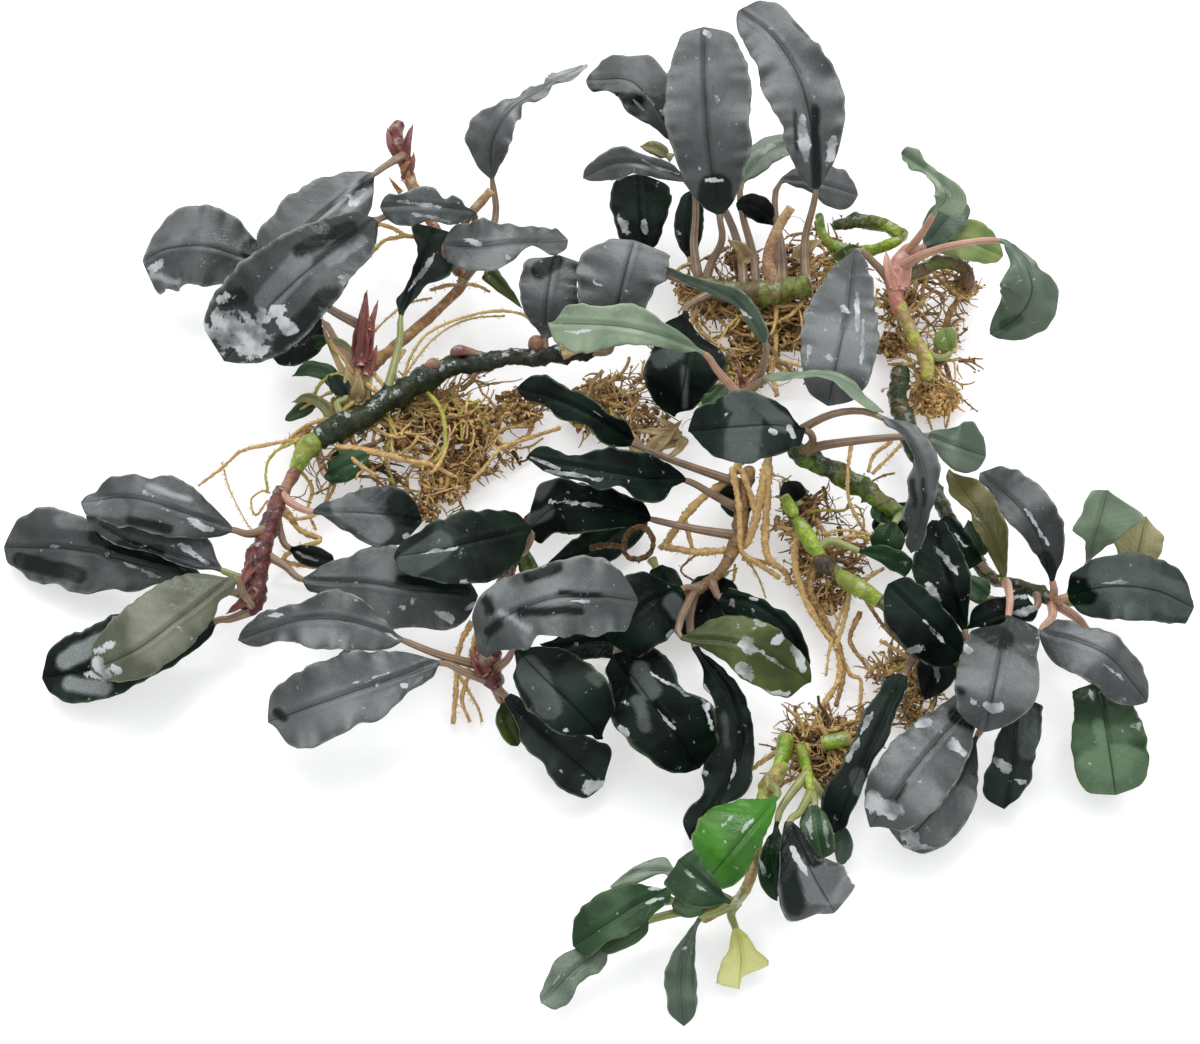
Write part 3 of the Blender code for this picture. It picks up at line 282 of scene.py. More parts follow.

# %% [markdown]
# ## The finish of a leaf
# A wet leaf is almost black-green, and looks grey wherever it mirrors the light. Here that grey
# is a painted reflection: the shader mixes a deep colour and a sheen colour by the point's own
# tone and breaks the mix up with noise, and the lights add a little real reflection on top. Thin
# water lies on the leaf in patches with sharp borders, painted pale as the glare of its highlight,
# and added last. Its rim is a pale line, the groove over the midrib is darkened as painted shade,
# faint side veins run out from the midrib, and small drops show painted glints. Painting an image
# would give the same look, but noise stays sharp at any distance.

# %% Shader helpers
class Finish:
    """A Principled material with short ways to add nodes."""

    def __init__(self, name, specular=0.5):
        self.made = bpy.data.materials.new(name)
        self.made.use_nodes = True
        self.tree = self.made.node_tree
        self.shader = self.tree.nodes["Principled BSDF"]
        self.shader.inputs["Specular IOR Level"].default_value = specular
        tone = self.node("ShaderNodeAttribute")
        tone.attribute_name = "tone"
        parts = self.node("ShaderNodeSeparateColor")
        self.link(tone.outputs["Color"], parts.inputs["Color"])
        self.red, self.green, self.blue = (parts.outputs[part] for part in ("Red", "Green", "Blue"))
        place = self.node("ShaderNodeUVMap")
        place.uv_map = "place"
        parts = self.node("ShaderNodeSeparateXYZ")
        self.link(place.outputs["UV"], parts.inputs["Vector"])
        self.along, self.across = parts.outputs["X"], parts.outputs["Y"]
        self.where = self.node("ShaderNodeTexCoord").outputs["Object"]

    def node(self, kind):
        return self.tree.nodes.new(kind)

    def link(self, source, target):
        self.tree.links.new(source, target)

    def put(self, value, socket):
        """A number, a colour or another node's socket goes into a socket."""
        if isinstance(value, (int, float)):
            socket.default_value = value
        elif isinstance(value, tuple):
            socket.default_value = (*value, 1)
        else:
            self.link(value, socket)

    def sums(self, operation, *values, clamp=False):
        """One sum of sockets or numbers."""
        node = self.node("ShaderNodeMath")
        node.operation = operation
        node.use_clamp = clamp
        for socket, value in zip(node.inputs, values):
            self.put(value, socket)
        return node.outputs[0]

    def times(self, first, second, clamp=False):
        """The first times the second."""
        return self.sums("MULTIPLY", first, second, clamp=clamp)

    def line(self, value, slope, lift, clamp=False):
        """The value times a slope, plus a lift."""
        return self.sums("MULTIPLY_ADD", value, slope, lift, clamp=clamp)

    def grain(self, scale, detail=3.0, rough=0.55):
        """Noise with that many lumps to a metre, most of it between 0.35 and 0.65."""
        node = self.node("ShaderNodeTexNoise")
        for socket, value in (("Scale", scale), ("Detail", detail), ("Roughness", rough)):
            node.inputs[socket].default_value = value
        self.link(self.where, node.inputs["Vector"])
        return node.outputs["Fac"]

    def dots(self, scale, size, kept):
        """Round dots, that many cells to a metre, a share `size` of a cell wide."""
        node = self.node("ShaderNodeTexVoronoi")
        node.inputs["Scale"].default_value = scale
        self.link(self.where, node.inputs["Vector"])
        drawn = self.node("ShaderNodeSeparateColor")
        self.link(node.outputs["Color"], drawn.inputs["Color"])
        chosen = self.step(drawn.outputs["Red"], 1 - kept, 1.02 - kept)
        return self.times(chosen, self.step(node.outputs["Distance"], size, 0.6 * size))

    def step(self, value, low, high):
        """0 below low, 1 above high, and smooth between them."""
        node = self.node("ShaderNodeMapRange")
        node.interpolation_type = "SMOOTHSTEP"
        node.inputs["From Min"].default_value = low
        node.inputs["From Max"].default_value = high
        self.link(value, node.inputs["Value"])
        return node.outputs["Result"]

    def mix(self, share, first, second):
        """A colour between two colours or sockets."""
        node = self.node("ShaderNodeMix")
        node.data_type = "RGBA"
        self.put(share, node.inputs["Factor"])
        self.put(first, node.inputs[6])
        self.put(second, node.inputs[7])
        return node.outputs[2]

    def dents(self, height, depth_mm, strength=1.0):
        """Small relief from a height between 0 and 1."""
        node = self.node("ShaderNodeBump")
        node.inputs["Strength"].default_value = strength
        node.inputs["Distance"].default_value = depth_mm * MM
        self.link(height, node.inputs["Height"])
        self.link(node.outputs["Normal"], self.shader.inputs["Normal"])

    def finish(self, colour, roughness):
        """Joins the colour and the roughness to the shader."""
        self.link(colour, self.shader.inputs["Base Color"])
        self.put(roughness, self.shader.inputs["Roughness"])
        return self.made


print("a finish has", len([name for name in dir(Finish) if name[0] != "_"]), "helpers")

# %% [markdown]
# The colour is laid in steps, from the leaf's own green to the painted glints of drops on top of
# it. Each step mixes one more colour over the last by a share between 0 and 1.

# %% The upper face of a leaf
# The pale colour of painted glare, on water patches and on gloss marks.
PAINTED_GLARE = (0.56, 0.58, 0.59)
# The grey of painted glints on small water drops.
DROP_GLINT = (0.26, 0.27, 0.28)
VEINS_A_BLADE = 11.0
VEIN_SLANT = 2.6
FULL_TURN = 6.283


def leaf_finish(name, deep, tint, sheen, rim, specular):
    """A leaf's face: deep colour, tint, painted reflection, pale rim, painted glare of water and
    drops.
    """
    f = Finish(name, specular)
    slow = f.step(f.grain(130, 2.0, 0.5), 0.40, 0.60)
    ragged, sand = f.grain(560, 3.0, 0.55), f.grain(2600, 2.0, 0.6)
    across = f.sums("ABSOLUTE", f.across)
    slant = f.sums("SUBTRACT", f.times(f.along, VEINS_A_BLADE), f.times(across, VEIN_SLANT))
    vein = f.sums("SINE", f.times(slant, FULL_TURN))
    cloud = f.line(vein, 0.012, f.line(slow, 0.30, f.line(sand, 0.50, 0.40)))
    # Painted reflection: the grey sheen colour is mixed over the leaf's own colour by the red tone.
    shine = f.times(f.red, cloud, clamp=True)
    colour = f.mix(shine, f.mix(f.times(slow, 0.8), deep, tint), sheen)
    # Painted shade: a dark line along the groove over the midrib.
    midrib = f.times(f.step(across, 0.06, 0.0), 0.7)
    colour = f.mix(midrib, colour, tuple(0.4 * v for v in deep))
    # Painted highlight: where a mark lifts the red tone past 1.2, the pale glare colour is mixed
    # in.
    gloss = f.times(f.step(f.red, 1.2, 2.2), f.line(sand, 0.5, 0.05))
    colour = f.mix(gloss, colour, PAINTED_GLARE)
    broken = f.line(f.step(ragged, 0.38, 0.56), 0.6, 0.25)
    colour = f.mix(f.times(f.blue, broken), colour, rim)
    # Water patches: the lower roughness is the water's own, and their pale colour is painted glare.
    wet = f.sums("ADD", f.green, f.line(ragged, 2.6, -1.36))
    wet = f.step(f.sums("ADD", wet, f.line(sand, 0.4, -0.2)), 0.38, 0.66)
    bright = f.step(f.grain(260, 2.0, 0.5), 0.36, 0.64)
    lit = f.line(bright, 0.55, f.line(sand, 0.2, 0.10), clamp=True)
    colour = f.mix(f.times(wet, lit), colour, PAINTED_GLARE)
    # Painted glints: small grey dots where drops would catch the light.
    colour = f.mix(f.dots(420, 0.07, 0.06), colour, DROP_GLINT)
    f.dents(f.line(vein, 0.06, f.line(sand, 0.3, f.grain(330, 3.0))), 0.35, 0.5)
    return f.finish(colour, f.line(slow, 0.10, f.line(wet, -0.08, 0.17)))


print("side veins along a blade:", VEINS_A_BLADE)

# %% [markdown]
# Each look is a line of text: its deep colour, a tint of it, the colour of its sheen, which is a
# painted reflection, the colour of its rim, and how strongly it mirrors. Scales and sheaths use
# the same finish as leaves.

# %% The looks of leaves and scales
LEAF_COLOURS = """
leaf_slate: 0.002 0.005 0.004, 0.005 0.011 0.009, 0.168 0.178 0.18, 0.3 0.33 0.28, 0.16
leaf_dark: 0.0004 0.0012 0.0008, 0.001 0.009 0.004, 0.084 0.101 0.095, 0.15 0.19 0.12, 0.03
leaf_green: 0.01 0.07 0.003, 0.028 0.15 0.005, 0.12 0.3 0.05, 0.22 0.36 0.1, 0.2
leaf_jade: 0.003 0.018 0.005, 0.008 0.036 0.01, 0.12 0.19 0.11, 0.12 0.2 0.06, 0.1
leaf_olive: 0.03 0.038 0.02, 0.055 0.06 0.03, 0.25 0.26 0.21, 0.2 0.22 0.12, 0.15
leaf_moss: 0.012 0.024 0.002, 0.036 0.056 0.004, 0.11 0.13 0.05, 0.18 0.22 0.07, 0.15
leaf_sage: 0.085 0.13 0.08, 0.14 0.2 0.125, 0.36 0.43 0.31, 0.36 0.42 0.27, 0.15
leaf_haze: 0.03 0.052 0.036, 0.055 0.08 0.055, 0.21 0.26 0.2, 0.2 0.25 0.17, 0.12
leaf_straw: 0.055 0.052 0.014, 0.11 0.1 0.03, 0.32 0.3 0.16, 0.3 0.28 0.14, 0.15
leaf_lime: 0.07 0.12 0.02, 0.15 0.21 0.05, 0.38 0.42 0.22, 0.42 0.46 0.22, 0.15
leaf_yellow: 0.4 0.42 0.1, 0.5 0.51 0.17, 0.62 0.61 0.3, 0.62 0.59 0.32, 0.2
scale_red: 0.05 0.008 0.008, 0.1 0.02 0.016, 0.3 0.11 0.09, 0.3 0.1 0.07, 0.3
scale_pink: 0.3 0.115 0.09, 0.44 0.21 0.16, 0.58 0.38 0.31, 0.55 0.32 0.26, 0.2
scale_husk: 0.19 0.12 0.045, 0.3 0.21 0.085, 0.5 0.42 0.24, 0.42 0.32 0.16, 0.2
scale_rust: 0.2 0.05 0.01, 0.38 0.13 0.025, 0.55 0.28 0.08, 0.45 0.22 0.06, 0.3
"""
LOOKS = {}
for row in LEAF_COLOURS.strip().splitlines():
    name, colours = row.split(":")
    *colours, (specular,) = rows_of(colours)
    LOOKS[name.split("_")[1]] = leaf_finish(name, *colours, specular)
print("leaf finishes:", ", ".join(LOOKS))

# %% [markdown]
# The underside is paler and matt, and the stalk is brown to pink with fine lengthwise streaks.

# %% Underside and stalks
UNDER_RIM = (0.24, 0.26, 0.16)


def under_finish(name, pale, dull):
    """A leaf's lower face: dull, with a net of faint veins."""
    f = Finish(name, 0.35)
    colour = f.mix(f.grain(260, 3.0), dull, pale)
    colour = f.mix(f.times(f.blue, 0.5), colour, UNDER_RIM)
    f.dents(f.grain(900, 2.0), 0.08, 0.4)
    return f.finish(colour, 0.45)


def stalk_finish(name, light, dark):
    """A stalk: two shades in streaks and blotches, waxy."""
    f = Finish(name)
    blotch = f.grain(420, 3.0)
    streak = f.line(f.sums("SINE", f.times(f.across, 9.0)), 0.2, blotch, clamp=True)
    f.dents(f.grain(1500, 2.0), 0.05, 0.5)
    return f.finish(f.mix(streak, dark, light), 0.36)


UNDER_GREEN = under_finish("leaf_underside", (0.115, 0.145, 0.075), (0.050, 0.072, 0.040))
UNDER_PALE = under_finish("leaf_underside_pale", (0.36, 0.42, 0.24), (0.22, 0.28, 0.15))
STALKS = {
    "brown": stalk_finish("stalk_brown", (0.30, 0.20, 0.12), (0.075, 0.044, 0.028)),
    "pink": stalk_finish("stalk_pink", (0.52, 0.33, 0.23), (0.27, 0.125, 0.085)),
    "green": stalk_finish("stalk_green", (0.33, 0.33, 0.12), (0.11, 0.14, 0.04)),
}
print("stalk finishes:", ", ".join(STALKS))

# %% [markdown]
# ## The shape of a leaf
# No two leaves have the same outline, and the two halves of one leaf differ as well. So each
# leaf's row lists how far the margin lies from the midrib on its right and on its left, in
# tenths of a millimetre, from the base of the blade to its tip. The halves rise or droop from the
# midrib, which is a groove above and a rib below. The course from the stem to the tip is the
# plain solid's own, so leaf and solid lie together.

# %% A leaf's row and its outline
LEAST_HALF_WIDTH = 0.1
SIGHT = 0.5

Leaf = namedtuple("Leaf", "name node stalk blade right left turn fold look shine wave marks bark")


def margins(leaf, shares):
    """The blade's half widths on its right and on its left at shares of its length, in mm."""
    steps = np.linspace(0, 1, len(leaf.right))
    steps = 0.45 * steps + 0.55 * (0.5 - 0.5 * np.cos(math.pi * steps))
    widths = np.divide(leaf.right, 10), np.divide(leaf.left, 10)
    line = smooth_course(np.stack([steps, *widths], axis=1))
    half = [np.interp(shares, line[:, 0], column) for column in line[:, 1:].T]
    return np.maximum(half, LEAST_HALF_WIDTH)


def leaf_frame(course, where, turn, shares):
    """Places, directions across and directions up from the blade at lengths along a course."""
    places = at_lengths(course, where)
    reach = lengths_along(course)[-1]
    ahead = at_lengths(course, np.minimum(where + SIGHT, reach))
    along = unit(ahead - at_lengths(course, np.maximum(where - SIGHT, 0)))
    facing = unit(unit(EYE - places) + np.array([0, 0, 1.0]))
    up = unit(facing - (facing * along).sum(axis=1, keepdims=True) * along)
    across = np.cross(along, up)
    angle = np.radians(turn[0] + (turn[1] - turn[0]) * np.clip(shares, 0, 1))[:, None]
    level, tilt = np.cos(angle), np.sin(angle)
    return places, level * across + tilt * up, level * up - tilt * across


print("a leaf's row holds:", ", ".join(Leaf._fields))

# %% [markdown]
# Each row also says where the leaf looks different. A sheen mark is a grey plane of painted
# reflection, a gloss mark one so bright that a pale painted highlight shows, a dark mark one
# where the painted reflection is left out, and a wet mark is thin water whose glare is painted
# pale. A mark runs between two pixels and has a half width, and it is kept as a colour on the
# points, so it stays on the leaf from every side. What lies level would mirror the sky best, so
# the painted sheen also fades where the blade bends away, a painted shade that shows its waves.
# The marks' borders wander by vector noise, which differs from run to run unless it is given a
# seed.

# %% Marks on a leaf
# How much painted reflection each kind of mark lays: none for a dark mark, a grey sheen, or so much
# that a pale painted highlight shows.
KINDS = {"dark": 0.0, "sheen": 0.85, "gloss": 1.8}
WANDER_SEED = 7
WANDER_SCALE = 0.33
WANDER_PIXELS = 2.4
BORDER_PIXELS = 2.6

noise.seed_set(WANDER_SEED)


def mark_tones(places, shine, marks):
    """The points' painted reflection and water glare after every mark, whose borders wander a
    little.
    """
    across, down = seen(places)
    drift = [[noise.noise_vector(Vector(place * WANDER_SCALE)) for place in row] for row in places]
    drift = np.array(drift)
    across, down = across + WANDER_PIXELS * drift[..., 0], down + WANDER_PIXELS * drift[..., 1]
    wet = np.zeros(across.shape)
    for kind, x0, y0, x1, y1, reach in marks:
        run = np.array([x1 - x0, y1 - y0], float)
        share = ((across - x0) * run[0] + (down - y0) * run[1]) / max(run @ run, 1e-6)
        share = np.clip(share, 0, 1)
        gap = np.hypot(across - x0 - share * run[0], down - y0 - share * run[1])
        if kind == "wet":
            slim = reach * (1 - 0.45 * (2 * share - 1) ** 2 * (np.hypot(*run) > 3 * reach))
            wet = np.maximum(wet, np.clip(1.5 - gap / slim, 0, 1))
            continue
        inside = np.clip((reach - gap) / BORDER_PIXELS + 0.5, 0, 1)
        shine = shine * (1 - inside) + KINDS[kind] * inside
    return shine, wet


print("kinds of mark: wet,", ", ".join(KINDS))

# %% [markdown]
# A ring has more points on its upper face than on its lower one, and a large leaf has more rings
# than a small one, so that every leaf is drawn about equally fine.

# %% Rings, sides and waves
STALK_RINGS = 12
RINGS_A_MM = 2.4
FEWEST_RINGS, MOST_RINGS = 18, 68
POINTS_A_MM = 2.1
FEWEST_POINTS, MOST_POINTS = 10, 34
FRILL_SCALE = 0.62


def ring_shares(blade_length):
    """Where the rings sit, from -1 to 0 along the stalk and from 0 to 1 along the blade."""
    count = int(np.clip(blade_length * RINGS_A_MM, FEWEST_RINGS, MOST_RINGS))
    blade = 0.5 - 0.5 * np.cos(np.linspace(0.0, math.pi, count))
    blade = 0.4 * blade + 0.6 * np.linspace(0, 1, count)
    return np.concatenate([np.linspace(-1, 0, STALK_RINGS, endpoint=False), blade])


def ring_sides(width):
    """A ring's points from right to left above and back below, and 1 above or -1 below."""
    top = int(np.clip(width * POINTS_A_MM + 4, FEWEST_POINTS, MOST_POINTS))
    under = max(7, top // 2)
    above = np.linspace(1, -1, top, endpoint=False)
    below = np.linspace(-1, 1, under, endpoint=False)
    return np.concatenate([above, below])[None], np.repeat([1.0, -1.0], [top, under])[None]


def waves(leaf, seed, on_blade, side, where):
    """How the margin rises and falls in waves, and how it frays, at each point."""
    half = np.where(side > 0, 1.3 + seed, -0.7 - seed)
    run = 2 * math.pi * leaf.wave[1] * (on_blade + 0.10 * np.sin(5 * on_blade + half))
    swell = 0.65 + 0.45 * np.sin(2.6 * on_blade * math.pi + 2.3 * half)
    ripple = np.sin(run + leaf.wave[2] + half) * swell + 0.3 * np.sin(1.7 * run + 2 * half)
    frill = [[noise.noise(Vector((FRILL_SCALE * w, seed, 9 * a))) for a in (-1, 1)] for w in where]
    frill = np.array(frill)
    return ripple, np.where(side > 0, frill[:, 1:], frill[:, :1])


print("rings on a leaf: from", STALK_RINGS + FEWEST_RINGS, "to", STALK_RINGS + MOST_RINGS)

# %% [markdown]
# The blade's section is flat below and has a groove with two low shoulders over the midrib. Its
# margin waves and frays, and slow dimples keep the face from looking machined.

# %% The leaf builder
STALK_FOOT = 0.9
STALK_NECK = 0.55
BLADE_HALF_THICK = 0.24
NECK_FADE = 0.05
FRILL = 0.38
WAVE = 0.8
GROOVE_DEEP, GROOVE_HALF_WIDE = 0.30, 0.42
SHOULDER_RISE, SHOULDER_OUT, SHOULDER_HALF_WIDE = 0.10, 0.75, 0.35
DIMPLE_SCALE, DIMPLE_DEEP = 0.16, 0.55
SKY = unit(np.array([-0.05, -0.15, 1.0]))
LEVEL_FADE = 0.07
RIM_STARTS, RIM_WIDTH = 0.93, 0.05


def leaf_rings(leaf):
    """The leaf's rings in mm, each point's place on it, its tones, and each face's finish."""
    course = smooth_course([spot(*place) for place in leaf.stalk + leaf.blade])
    along = lengths_along(course)
    neck, total = along[COURSE_STEPS * len(leaf.stalk)], along[-1]
    shares = ring_shares(total - neck)
    where = np.where(shares < 0, neck * (1 + shares), neck + (total - neck) * shares)
    places, across, up = leaf_frame(course, where, leaf.turn, shares)
    on_blade, is_blade = np.clip(shares, 0, 1)[:, None], (shares >= 0)[:, None]
    radius = (STALK_NECK + (STALK_FOOT - STALK_NECK) * np.clip(-shares, 0, 1) ** 1.5)[:, None]
    right, left = margins(leaf, np.clip(shares, 0, 1))[..., None]
    right, left = np.where(is_blade, right, radius), np.where(is_blade, left, radius)
    side, face = ring_sides((right + left).max())
    seed = sum(map(ord, leaf.name)) * 0.37
    ripple, frill = waves(leaf, seed, on_blade, side, where)
    frill = frill * is_blade

    wide = 0.5 * (right + left)
    fine = np.minimum(wide / 3, 1)
    margin = np.abs(side) ** 2.4 * np.sin(math.pi * on_blade) ** 0.6
    x = side * (np.where(side > 0, right, left) + FRILL * fine * margin * frill)
    thin = BLADE_HALF_THICK * (1.1 - 0.5 * on_blade)
    thick = np.where(is_blade, thin + (STALK_NECK - thin) * np.exp(-on_blade / NECK_FADE), radius)
    round_up = face * np.where(is_blade, np.sqrt(1 - side ** 4), np.sqrt(1 - side ** 2))
    bed = math.tan(math.radians(leaf.fold)) * (wide - radius) * (np.sqrt(side ** 2 + 0.02) - 0.5)
    groove = np.exp(-(x / GROOVE_HALF_WIDE) ** 2) * np.clip(on_blade * 9, 0, 1)
    groove = groove * (1 - 0.6 * on_blade) * is_blade
    shoulder = np.exp(-((np.abs(x) - SHOULDER_OUT) / SHOULDER_HALF_WIDE) ** 2)
    shoulder = SHOULDER_RISE * shoulder * is_blade
    dimple = [[noise.noise(Vector((a * DIMPLE_SCALE, w * DIMPLE_SCALE, seed))) for a in row]
              for row, w in zip(x, where)]
    waving = margin * (WAVE * leaf.wave[0] * ripple + 1.2 * FRILL * frill)
    z = thick * round_up - GROOVE_DEEP * groove + np.where(face > 0, shoulder, 0)
    z = z + is_blade * (bed + waving + DIMPLE_DEEP * np.array(dimple) * fine)
    rings = places[:, None] + across[:, None] * x[..., None] + up[:, None] * z[..., None]

    # Painted light and shade: faces that turn toward the light overhead get more painted sheen, so
    # bends and waves show.
    normal = unit(np.cross(np.gradient(rings, axis=0), np.gradient(rings, axis=1)))
    level = np.exp((normal @ SKY - 1) / LEVEL_FADE)
    shine = leaf.shine[0] + (leaf.shine[1] - leaf.shine[0]) * np.broadcast_to(on_blade, x.shape)
    # Red holds the painted sheen, green the water with its painted glare, blue the pale rim.
    tones = np.ones((*x.shape, 4))
    tones[..., 0], tones[..., 1] = mark_tones(rings, shine * (0.40 + 0.85 * level), leaf.marks)
    tones[..., 2] = np.clip((np.abs(side) - RIM_STARTS) / RIM_WIDTH, 0, 1) * is_blade
    on = np.stack(np.broadcast_arrays(shares[:, None], side), axis=-1)
    slots = np.where((shares < 0)[:-1, None], 2, np.where(face > 0, 0, 1))
    return rings, on, tones, slots


print("blade half thickness:", BLADE_HALF_THICK, "mm, stalk neck:", STALK_NECK, "mm")

# %% [markdown]
# A leaf is a few lines of text: its name, look and stalk, and the stem's solid where it has none
# of its own. Then come how strong its painted sheen is at its base and tip, the size, count and
# phase of its waves, its fold and turn in degrees, its course, its margins without the tip, and
# its marks. A leaf without waves, fold or turn lies nearly flat, and one margin can stand for both.

# %% Placing the leaves
TIP = 1
FLAT = {"turn": (0, 0), "fold": (0,), "wave": (0.1, 2, 0)}


def read_leaf(text):
    """The leaf that a text describes, with a semicolon between two parts."""
    words, *parts = text.split(";")
    name, look, bark, *node = words.split()
    given, marks = dict(FLAT), []
    for part in parts:
        key, rest = part.split(maxsplit=1)
        if key == "wet" or key in KINDS:
            marks.append((key, *numbers(rest)))
        elif key in ("right", "left"):
            given[key] = (*numbers(rest), TIP)
        else:
            given[key] = rows_of(rest) if key in ("stalk", "blade") else numbers(rest)
    left = given.get("left", given["right"])
    return Leaf(name, *(node or [name]), given["stalk"], given["blade"], given["right"], left,
                given["turn"], given["fold"][0], look, given["shine"], given["wave"], marks, bark)


def build_leaf(leaf):
    """One leaf or scale, which stands for a solid if it has one."""
    under = UNDER_PALE if leaf.look in ("sage", "yellow") else UNDER_GREEN
    finishes = (LOOKS[leaf.look], under, STALKS[leaf.bark])
    blade = skin(leaf.name + "_blade", *leaf_rings(leaf), finishes)
    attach(blade, "root")
    if leaf.node:
        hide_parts(leaf.node)


def grow(text):
    """Builds every leaf of a text that has a blank line between two leaves."""
    leaves = [read_leaf(block) for block in text.strip().split("\n\n")]
    for leaf in leaves:
        build_leaf(leaf)
    print("leaves:", ", ".join(leaf.name for leaf in leaves))


# %% [markdown]
# ## Leaves at the upper left
# Three broad leaves lean out over the table, with a fan of narrow leaves behind them. The
# lowest one has thin water lying on it, with its glare painted in bright patches.

# %% Leaves at the upper left
grow("""
leaf_upper_left_1 slate brown; shine 0.6 1.1; wave 0.9 3.5 0.4; fold -14;
stalk 361 326 13.5, 330 309 11.5, 305 290 10; blade 285 277 9.5, 240 257 12.5, 200 247 14,
165 251 11.5, 143 262 8;
right 4 13 22 31 38 47 66 73 77 77 75 69 47 30 16;
left 4 22 37 44 51 52 55 65 67 64 73 68 66 66 60;
dark 250 250 262 246 10; wet 152 268 160 262 4; gloss 150 275 178 282 3;
sheen 158 250 190 236 5

leaf_upper_left_2 slate brown; shine 1.0 0.85; wave 0.25 2.5 0; fold -5;
stalk 403 156 14, 390 163 18; blade 373 175 20, 335 205 20, 300 236 18.5, 268 268 14.5;
right 4 18 28 36 45 54 59 63 66 62 61 60 54 35;
left 4 12 26 40 51 61 68 67 66 61 55 50 41 33;
dark 330 208 372 180 3; wet 350 203 364 192 5; gloss 318 222 355 185 3;
gloss 345 210 372 192 4; sheen 290 210 330 185 7

leaf_upper_left_3 slate brown; shine 0.4 0.4; wave 0.25 2.0 1; fold 6;
stalk 414 196 12, 396 212 16.5; blade 374 222 21, 330 252 25, 275 300 23, 224 361 14;
right 9 32 39 46 53 60 70 75 79 86 86 85 80 72 56;
left 9 18 30 42 52 54 63 74 77 81 78 69 56 39 19;
dark 330 300 300 330 14; dark 285 345 290 350 12; dark 225 300 240 296 9;
wet 226 330 252 342 20; wet 262 318 280 308 8; wet 220 299 226 297 6; wet 285 323 291 330 8;
wet 342 282 345 281 6; sheen 268 300 300 262 13; dark 300 250 350 228 8;
sheen 330 262 362 240 5

leaf_back_left_1 slate brown; shine 1.3 1.3; wave 0.6 4 0.5; fold 8; turn 25 25;
stalk 440 238 10.5, 468 232 14; blade 474 213 17, 445 207 21, 410 205 22, 380 207 20.5;
right 4 4 5 12 22 15 32 32 25 18 22 14;
left 9 16 21 25 29 28 24 32 36 34 28 19;
wet 398 201 440 207 2; wet 410 213 450 222 2

leaf_back_left_2 dark green; shine 0.2 0.3; fold 28; turn 10 0;
stalk 384 401 10.5, 394 365 12, 400 338 13; blade 401 316 14, 412 287 15, 424 260 14,
436 228 12.5;
right 4 5 10 18 24 51 54 54 52 46 39;
left 4 9 17 11 11 10 11 17 28 38 36;
wet 408 290 438 252 2.5

leaf_back_left_3 slate brown; shine 0.8 0.95; wave 0.6 3 1; fold 6; turn 5 25;
stalk 458 272 9.5, 449 262 13; blade 446 247 16, 480 245 19, 520 242 18, 568 240 15;
right 9 29 36 44 50 52 37 21 13 32 29 20;
left 9 35 39 43 45 48 46 36 34 31 25 27;
wet 466 240 480 245 2.5; wet 505 255 512 257 2

leaf_back_left_4 slate brown; shine 1.2 1.6; wave 1.1 6 0; fold 10; turn 0 60;
stalk 463 280 9, 486 250 10, 496 212 12; blade 492 178 15, 492 141 22, 508 112 25, 535 92 25,
586 65 20;
right 4 12 22 32 36 27 16 24 23 33 36 19;
left 4 19 29 47 48 21 20 14 15 33 48 47

small_leaf_upper_left_1 dark pink runner_upper_left; shine 0.3 0.3;
stalk 360 372 10, 337 342 8; blade 322 322 7.5, 300 343 7.5, 272 356 5;
right 5 11 20 27 32 35 35 33 29 23 16

small_leaf_upper_left_2 jade green runner_upper_left; shine 0.2 0.3;
stalk 360 378 9.5, 348 348 9; blade 330 340 9, 303 347 6;
right 5 5 9 12 13 12 10 7

small_leaf_upper_left_3 dark green rhizome_left; shine 0.2 0.3;
stalk 346 424 10, 337 404 10; blade 346 397 10, 331 373 10;
right 5 6 11 15 17 17 15 13 9

small_leaf_upper_left_4 jade green rhizome_left; shine 0.4 0.5; wave 0.2 2 0;
stalk 330 431 9.5, 326 412 8; blade 318 402 8, 285 420 5;
right 5 8 11 13 13 11 9 6

small_leaf_left_1 jade pink rhizome_left; shine 0.2 0.25; wave 0.15 2 0;
stalk 309 446 9, 318 452 7; blade 326 476 6.5, 345 466 8, 368 456 8.5;
right 5 9 17 22 26 27 26 23 19 13;
wet 350 466 362 462 1
""")

# %% [markdown]
# ## Leaves at the back
# Two tall leaves stand up in front of a bunch of smaller ones. One has a deeply waved margin,
# which comes from a larger wave and a count of five along the blade.

